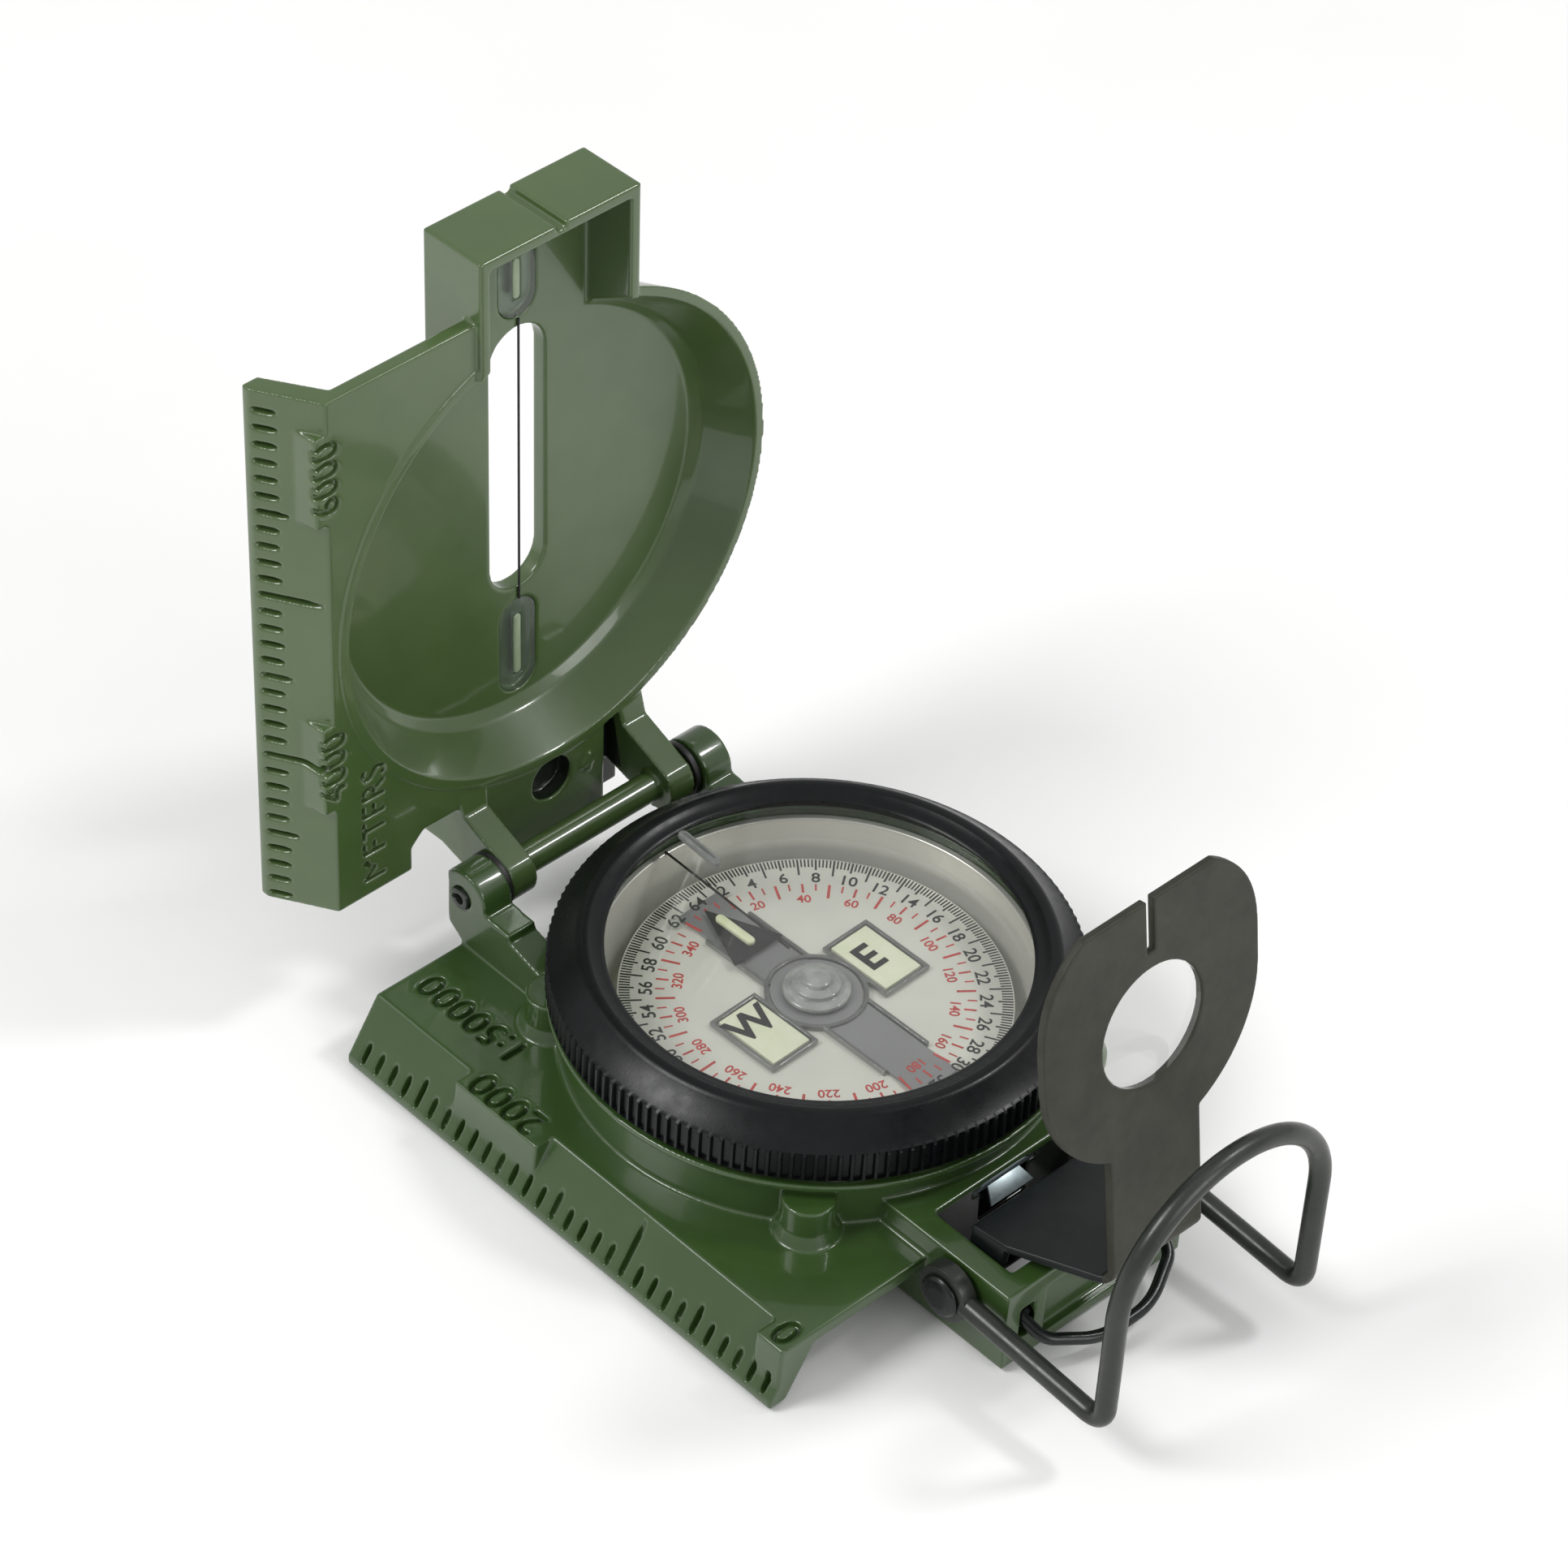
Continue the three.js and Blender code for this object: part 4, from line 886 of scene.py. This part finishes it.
# ------------------------ inside the case
def well():
    body = turned(soft_profile([
        (0, corner("damping_well", 0, "z")), (BORE_R - FIT, corner("damping_well", 0, "z")),
        (BORE_R - FIT, WELL_TOP), (21.8, WELL_TOP), (20.7, WELL_FLOOR + 0.6), (20.2, WELL_FLOOR),
        (0, WELL_FLOOR),
    ], 0.25))
    settle(body, "bright_well", "case", WELL_METAL, replaces=("damping_well",))
    post = turned(soft_profile([
        (0, WELL_FLOOR + FIT), (2.4, WELL_FLOOR + FIT), (2.4, 9.0), (0.8, 9.6), (0.8, 12.4), (0.08, 13.0),
        (0, 13.0),
    ], 0.15), facets=48)
    settle(post, "turned_post", "case", BRASS, replaces=("pivot_post",))
    glass = turned(soft_profile([
        (0, CRYSTAL_LOW), (BORE_R - FIT, CRYSTAL_LOW), (BORE_R - FIT, NECK_Z - FIT), (0, NECK_Z - FIT),
    ], 0.15))
    settle(glass, "inner_crystal", "case", CRYSTAL, replaces=("fixed_crystal",))
    line = block(-0.39, -0.15, 3.9, 22.1, CRYSTAL_LOW - 0.12, CRYSTAL_LOW - 0.03)
    settle(line, "index_hairline", "case", BLACK_INK, INDEX_FRAME, ("index_line",))

    def wave(turn, r, z):
        return 0.25 * math.sin(16 * turn)
    low, high = COLLAR_Z + 0.1, COLLAR_Z + 0.4
    spring = turned([(24.4, low), (25.8, low), (25.8, high), (24.4, high)], ripple=wave)
    settle(spring, "click_spring", "case", SPRING_STEEL, replaces=("bezel_spring",))


# ------------------------ the bezel
def bezel():
    band_low, band_high = BEZEL_LOW + 0.35, KNURL_TOP - 0.35

    def knurl(turn, r, z):
        if r < BEZEL_R - 0.1 or not band_low <= z <= band_high:
            return 0.0
        wave = math.cos(KNURLS * turn)
        return 0.0 if wave > 0.1 else -0.42
    profile = [(NECK_R + RUN, BEZEL_LOW), (BEZEL_R - 0.5, BEZEL_LOW), (BEZEL_R - 0.05, BEZEL_LOW + 0.3)]
    profile += [(BEZEL_R, band_low), (BEZEL_R, band_high)]
    profile += [(BEZEL_R - 0.2, KNURL_TOP - 0.1), (BEZEL_R - 0.6, KNURL_TOP + 0.05)]
    cone = [(LIP_EDGE + 0.3, BEZEL_TOP - 0.35), (LIP_EDGE + 0.05, BEZEL_TOP - 0.1)]
    cone += [(LIP_EDGE - 0.3, BEZEL_TOP)]
    inner = [
        (22.85, BEZEL_TOP), (22.6, BEZEL_TOP - 0.08), (22.4, BEZEL_TOP - 0.3), (21.5, GLASS_TOP + 0.42),
        (21.3, GLASS_TOP + 0.36), (21.12, GLASS_TOP + 0.2), (21.1, GLASS_TOP + FIT),
        (22.45, GLASS_TOP + FIT), (22.45, NECK_Z + RUN), (NECK_R + RUN, NECK_Z + RUN),
    ]
    body = turned(profile + cone + inner, facets=KNURLS * 8, ripple=knurl)
    settle(body, "knurled_bezel", "bezel", BEZEL_BLACK, BEZEL_FRAME, ("bezel_ring",), 38)
    glass = turned(soft_profile([(0, GLASS_LOW), (22.4, GLASS_LOW), (22.4, GLASS_TOP), (0, GLASS_TOP)], 0.2))
    settle(glass, "bezel_window", "bezel", GLASS, BEZEL_FRAME, ("bezel_glass",))
    rod = bar(0.55, 0.25, 14.9, 20.9, GLASS_TOP + 0.03, GLASS_TOP + 0.72)
    cut(rod, block(-0.16, 0.16, 15.6, 20.2, GLASS_TOP + 0.5, GLASS_TOP + 2))
    settle(rod, "bezel_bar", "bezel", BAR_CLEAR, BEZEL_FRAME, ("bezel_lume_bar",))


# ------------------------ the dial
def print_height(x, y):
    """The printing lies on the dial, and on top of the magnet where that is in the way."""
    over_magnet = abs(x) < 3.4 and abs(y) < 17.6
    return DIAL_TOP + (0.03 + MAGNET_THICK + 0.01 if over_magnet else 0.004)


def tick_mark(turn, r0, r1, width):
    """A printed line from radius r0 to r1 at a bearing in degrees, clockwise from north."""
    t = math.radians(turn)
    along = Vector((math.sin(t), math.cos(t)))
    side = Vector((along.y, -along.x)) * width / 2
    corners = [along * r0 - side, along * r0 + side, along * r1 + side, along * r1 - side]
    low = print_height(*(along * (r0 + r1) / 2))
    return prism([tuple(c) for c in corners], "z", low, low + PRINT)


def round_number(text, turn, r, height):
    t = math.radians(turn)
    out = Vector((math.sin(t), math.cos(t), 0))
    right = Vector((math.cos(t), -math.sin(t), 0))
    place = out * r
    place.z = print_height(place.x, place.y) + PRINT / 2
    return lettering(text, height, place, right, out, PRINT, weight=0.025)


def dial_print():
    black = []
    for k in range(320):
        mils = 20 * k
        inner, width = 18.4, 0.16
        if mils % 200 == 0:
            inner, width = 18.0, 0.2
        elif mils % 100 == 0:
            inner, width = 17.24, 0.2
        black.append(tick_mark(mils * 360 / 6400, inner, 19.5, width))
    for k in range(1, 33):
        black.append(round_number(str(2 * k), k * 11.25, 16.87, 1.4))
    settle(merge(black), "dial_print_black", "dial", BLACK_INK, DIAL_FRAME)
    red = []
    for degrees in range(0, 360, 5):
        inner, width = 14.96, 0.18
        if degrees % 20 == 0:
            inner, width = 14.64, 0.24
        elif degrees % 10 == 0:
            inner, width = 13.95, 0.28
        red.append(tick_mark(degrees, inner, 15.9, width))
    for degrees in range(20, 360, 20):
        red.append(round_number(str(degrees), degrees, 13.75, 1.08))
    settle(merge(red), "dial_print_red", "dial", RED_INK, DIAL_FRAME)


def dial():
    face = [(2.3, DIAL_LOW), (DIAL_R, DIAL_LOW), (DIAL_R, DIAL_TOP), (2.3, DIAL_TOP)]
    plate = turned(soft_profile(face, 0.08))
    settle(plate, "silver_dial", "dial", DIAL_SILVER, DIAL_FRAME, ("dial_disc",))
    dial_print()
    low = DIAL_TOP + 0.03
    high = low + MAGNET_THICK
    magnet = join(block(-2.6, 2.6, -16.8, 16.8, low, high), disc(4.6, low, high, facets=96))
    cut(magnet, disc(2.3, low - 1, low + 2, facets=64))
    soften(magnet, 0.06, 2)
    settle(magnet, "magnet_bar", "dial", MAGNET_GREY, DIAL_FRAME, ("dial_magnet",))
    dial_moulding(low)
    cap = turned(soft_profile([
        (0, 13.35), (1.15, 12.1), (2.2, 12.1), (2.2, 13.78), (3.4, 13.78), (3.4, 14.2), (3.0, 14.35),
        (2.45, 14.4),
        (2.4, 14.9), (1.95, 15.0), (1.5, 15.05), (1.4, 15.5), (1.1, 15.6), (0, 15.6),
    ], 0.1), facets=96)
    settle(cap, "stepped_cap", "dial", CAP_CLEAR, DIAL_FRAME, ("dial_jewel_cap",))
    arrow = prism([(-3.7, 7.7), (2.9, 7.7), (-0.4, 15.4)], "z", 13.78, 14.0)
    soften(arrow, 0.05, 2)
    settle(arrow, "north_arrow", "dial", BLACK_INK, DIAL_FRAME, ("dial_arrow",))
    glow = bar(0.5, 0.25, 8.4, 13.6, 14.03, 14.7, -0.45)
    settle(glow, "arrow_glow_bar", "dial", LUME, DIAL_FRAME, ("dial_arrow_lume",))
    for side, word, letter, cx, cy in ((1, "east", "E", 7.2, -0.1), (-1, "west", "W", -8.1, 1.0)):
        x0, x1 = sorted((side * 5.35, side * 10.3))
        pad = soften(block(x0, x1, -4.4, 3.3, low, DIAL_TOP + 0.6), 0.1, 3)
        settle(pad, f"{word}_glow_pad", "dial", PAD_LUME, DIAL_FRAME, (f"dial_{word}_pad",))
        glyph = lettering(letter, 3.5, (cx, cy, DIAL_TOP + 0.64), (1, 0, 0), (0, 1, 0), 0.04, weight=0.11)
        settle(glyph, f"letter_{word}", "dial", BLACK_INK, DIAL_FRAME)


def dial_moulding(low):
    """The clear frame: ridges beside the magnet, a ring round the hub and a tray round each letter."""
    top = DIAL_TOP + 0.62

    def both(x0, x1, y0, y1):
        return join(block(x0, x1, y0, y1, low, top), block(-x1, -x0, y0, y1, low, top))
    trays = cut(both(4.75, 10.95, -5.0, 3.9), both(5.1, 10.55, -4.6, 3.5))
    hub = turned([(4.75, low), (5.2, low), (5.2, top), (4.75, top)], facets=96)
    cut(hub, block(-2.75, 2.75, -17, 17, low - 1, low + 0.4))
    ridges = cut(both(2.75, 3.15, -12.5, 12.5), disc(4.75, low - 1, top + 1, facets=96))
    body = join(trays, hub, ridges)
    cast(body, 0.09, 0.012, 0.3)
    settle(body, "clear_frame", "dial", MOULDING, DIAL_FRAME, ("dial_frame",), None)


# ------------------------ the lens sight, folded, from its axle
def sight():
    neck = 6.0
    spread = math.degrees(math.asin(neck / SIGHT_R))
    outline = [(-neck, FOOT_U - SHEET / 2), (neck, FOOT_U - SHEET / 2)]
    outline += arc(0, LENS_U, SIGHT_R, -90 + spread, 0, 40)
    shoulder = []
    for k in range(1, 16):
        t = k / 15
        x = SIGHT_R * (1 - t) ** 2 + SIGHT_R * 2 * t * (1 - t) + TOP_HALF * t * t
        u = SHOULDER_U * (1 - t) ** 2 + (SIGHT_END - 3.2) * 2 * t * (1 - t) + SIGHT_END * t * t
        shoulder.append((x, u))
    outline += [(SIGHT_R, SHOULDER_U)] + shoulder + [(-x, u) for x, u in reversed(shoulder)]
    outline += [(-SIGHT_R, SHOULDER_U)] + arc(0, LENS_U, SIGHT_R, -180, -90 - spread, 40)
    plate = prism(outline, "z", SIGHT_H - SHEET / 2, SIGHT_H + SHEET / 2)
    cut(plate, disc(LENS_R, 0, 30, (0, LENS_U), 96), block(-0.5, 0.5, SIGHT_END - 6, SIGHT_END + 2, 0, 30))
    foot = prism([
        (-9.2, -1.1), (9.2, -1.1), (9.2, 3.4), (7.1, 10.4), (neck, SIGHT_H), (-neck, SIGHT_H), (-7.1, 10.4),
        (-9.2, 3.4),
    ], "y", FOOT_U - SHEET / 2, FOOT_U + SHEET / 2)
    low_u, high = FOOT_U - SHEET / 2, SIGHT_H + SHEET / 2
    inner = [(low_u + SHEET - 0.05, high - SHEET + 0.05)] + arc(low_u + 2.0, high - 2.0, 1.1, 90, 180, 12)
    fillet = prism(inner, "x", -neck, neck)
    outer = [(low_u - 0.1, high + 0.1), (low_u + 2.0, high + 0.1)]
    outer += arc(low_u + 2.0, high - 2.0, 2.0, 90, 180, 16) + [(low_u - 0.1, high - 2.0)]
    tabs = []
    for side in (-1, 1):
        x0, x1 = sorted((side * 8.3, side * 9.2))
        tab = prism(arc(0, 0, 2.2, 90, 270, 24) + [(FOOT_U, -1.1), (FOOT_U, 3.4)], "x", x0, x1)
        tabs.append(cut(tab, rod_x(1.5, x0 - 1, x1 + 1, 0, 0)))
    body = cut(join(plate, foot, fillet, *tabs), prism(outer, "x", -neck - 1, neck + 1))
    cast(body, 0.13, 0.05, 0.3)
    # Painted shade: the foot's faces take the darker copy of the plate's coating.
    inside = faces_where(body, lambda at: at.y < FOOT_U + 0.8 and at.z < SIGHT_H - 0.9)
    settle(body, "sight_plate", "sight", PLATE_COAT, SIGHT_FRAME, ("rear_sight_leaf",), None)
    second_coat(body, FOOT_PAINTED_SHADE_COAT, inside)
    lens = turned([
        (0, SIGHT_H - 0.35), (LENS_R - FIT, SIGHT_H - 0.35), (LENS_R - FIT, SIGHT_H + 0.3),
        (LENS_R * 0.75, SIGHT_H + 0.5), (LENS_R * 0.5, SIGHT_H + 0.64), (LENS_R * 0.25, SIGHT_H + 0.72),
        (0, SIGHT_H + 0.75),
    ], (0, LENS_U), 96)
    settle(lens, "sight_glass", "sight", LENS, SIGHT_FRAME, ("rear_sight_lens",))


def axle():
    half = soft_profile([
        (0, 0), (1.4, 0), (1.4, 14.75), (2.3, 14.75), (2.3, 14.95), (2.0, 15.25), (1.2, 15.4), (0, 15.4),
    ], 0.12)
    halves = [turned(half, facets=64), turned([(r, -z) for r, z in half], facets=64)]
    body = merge(halves)
    place = Matrix.Translation(AXLE) @ Matrix.Rotation(math.pi / 2, 4, "Y")
    settle(body, "domed_axle", "case", BLACK_STEEL, place, ("sight_axle",))


# ------------------------ wire parts and the lever
def thumb_loop():
    leg = bent([(-LOOP_X, -2.4, 0), (-LOOP_X, LOOP_BACK, -1.3), (-LOOP_X, LOOP_BACK, LOOP_LEG)], [2.4])
    arch = []
    rise = LOOP_RISE - LOOP_LEG
    steps = 48
    for k in range(1, steps):
        turn = math.pi * k / steps
        arch.append(Vector((-LOOP_X * math.cos(turn), LOOP_BACK, LOOP_LEG + rise * math.sin(turn))))
    other = [Vector((-p.x, p.y, p.z)) for p in reversed(leg)]
    wire = tube(leg + arch + other, 1.1, 24)
    eyes = []
    for side in (-1, 1):
        x0, x1 = side * LOOP_X - 0.85, side * LOOP_X + 0.85
        eye = prism(circle(0, 0, 3.1, 64), "x", x0, x1)
        cut(eye, rod_x(1.5, x0 - 1, x1 + 1, 0, 0))
        eyes.append(soften(eye, 0.3, 3))
    body = merge([wire, *eyes])
    settle(body, "wire_thumb_loop", "loop", PHOSPHATE, LOOP_FRAME, ("thumb_loop",))


def lanyard_ring():
    reach = 9.3
    route = bent([
        (-7.0, 0, 0), (-reach - 0.1, 0, 0), (-reach + 0.6, -3.4, 0), (-3.4, -6.4, 0), (3.4, -6.4, 0),
        (reach - 0.6, -3.4, 0), (reach + 0.1, 0, 0), (7.0, 0, 0),
    ], [0.9, 1.2, 2.2, 2.2, 1.2, 0.9])
    ring = tube(route, 0.65, 18)
    settle(ring, "wire_lanyard_ring", "lanyard", BLACK_STEEL, BAIL_FRAME, ("lanyard_ring",))


def lock_lever():
    leaf = prism([(-2.0, 0), (-2.9, -2.3), (2.9, -2.3), (2.0, 0)], "z", -0.15, 0.15)
    soften(leaf, 0.06, 2)
    body = merge([leaf, soften(rod_x(0.48, -4.2, 4.2, 0, 0), 0.08, 2)])
    cad_node = ("dial_lock_lever",)
    settle(body, "bright_lock_leaf", "lock_lever", LEAF_METAL, LEVER_FRAME, cad_node)


# ------------------------ stage
# The camera's place in metres, and which way its right side and its top point.
CAMERA_PLACE = Vector((-0.312227, -0.292978, 0.428426))
CAMERA_RIGHT = Vector((0.724179, -0.687674, 0.051671))
CAMERA_UP = Vector((0.435069, 0.513726, 0.739459))


def camera():
    data = bpy.data.cameras.new("camera")
    data.lens = 138.86
    data.sensor_width = 36.0
    thing = bpy.data.objects.new("camera", data)
    bpy.context.scene.collection.objects.link(thing)
    right = CAMERA_RIGHT.normalized()
    back = right.cross(CAMERA_UP).normalized()
    up = back.cross(right)
    turn = Matrix((right, up, back)).transposed().to_4x4()
    thing.matrix_world = Matrix.Translation(CAMERA_PLACE) @ turn
    bpy.context.scene.camera = thing


def lamp(name, place, size, power):
    """A round soft light, turned toward the middle of the compass."""
    data = bpy.data.lights.new(name, "AREA")
    data.shape = "DISK"
    data.size = size
    data.energy = power
    thing = bpy.data.objects.new(name, data)
    bpy.context.scene.collection.objects.link(thing)
    thing.location = place
    thing.rotation_euler = (Vector((0, 0, 0.03)) - Vector(place)).to_track_quat("-Z", "Y").to_euler()


def stage():
    reach, low = 4000, -0.4
    corners = [(-reach, -reach, low), (reach, -reach, low), (reach, reach, low), (-reach, reach, low)]
    floor = make("floor", corners, [(0, 1, 2, 3)])
    floor.data.transform(Matrix.Scale(MM, 4))
    look = Look("pale_floor")
    clouds = look.remap(look.noise(40.0), 0.3, 0.7, 0.0, 1.0)
    shade = look.mix(clouds, (0.86, 0.86, 0.855), (0.88, 0.88, 0.875))
    look.surface(shade, 0.7)
    floor.data.materials.append(look.material)
    world = bpy.data.worlds.new("studio")
    bpy.context.scene.world = world
    world.use_nodes = True
    background = world.node_tree.nodes["Background"]
    background.inputs["Color"].default_value = (1, 1, 1, 1)
    background.inputs["Strength"].default_value = 0.58
    lamp("key", (-0.60, 0.30, 0.75), 0.40, 5.0)
    lamp("spark", (0.52, -0.33, 0.80), 0.16, 2.5)
    lamp("front", (0.10, -0.90, 0.45), 0.50, 2.6)
    bpy.context.scene.view_settings.view_transform = "Standard"


# ------------------------ everything
camera()
stage()
base_case()
cover_shell()
cover_fittings()
hinge_hardware()
well()
bezel()
dial()
sight()
axle()
thumb_loop()
lanyard_ring()
lock_lever()
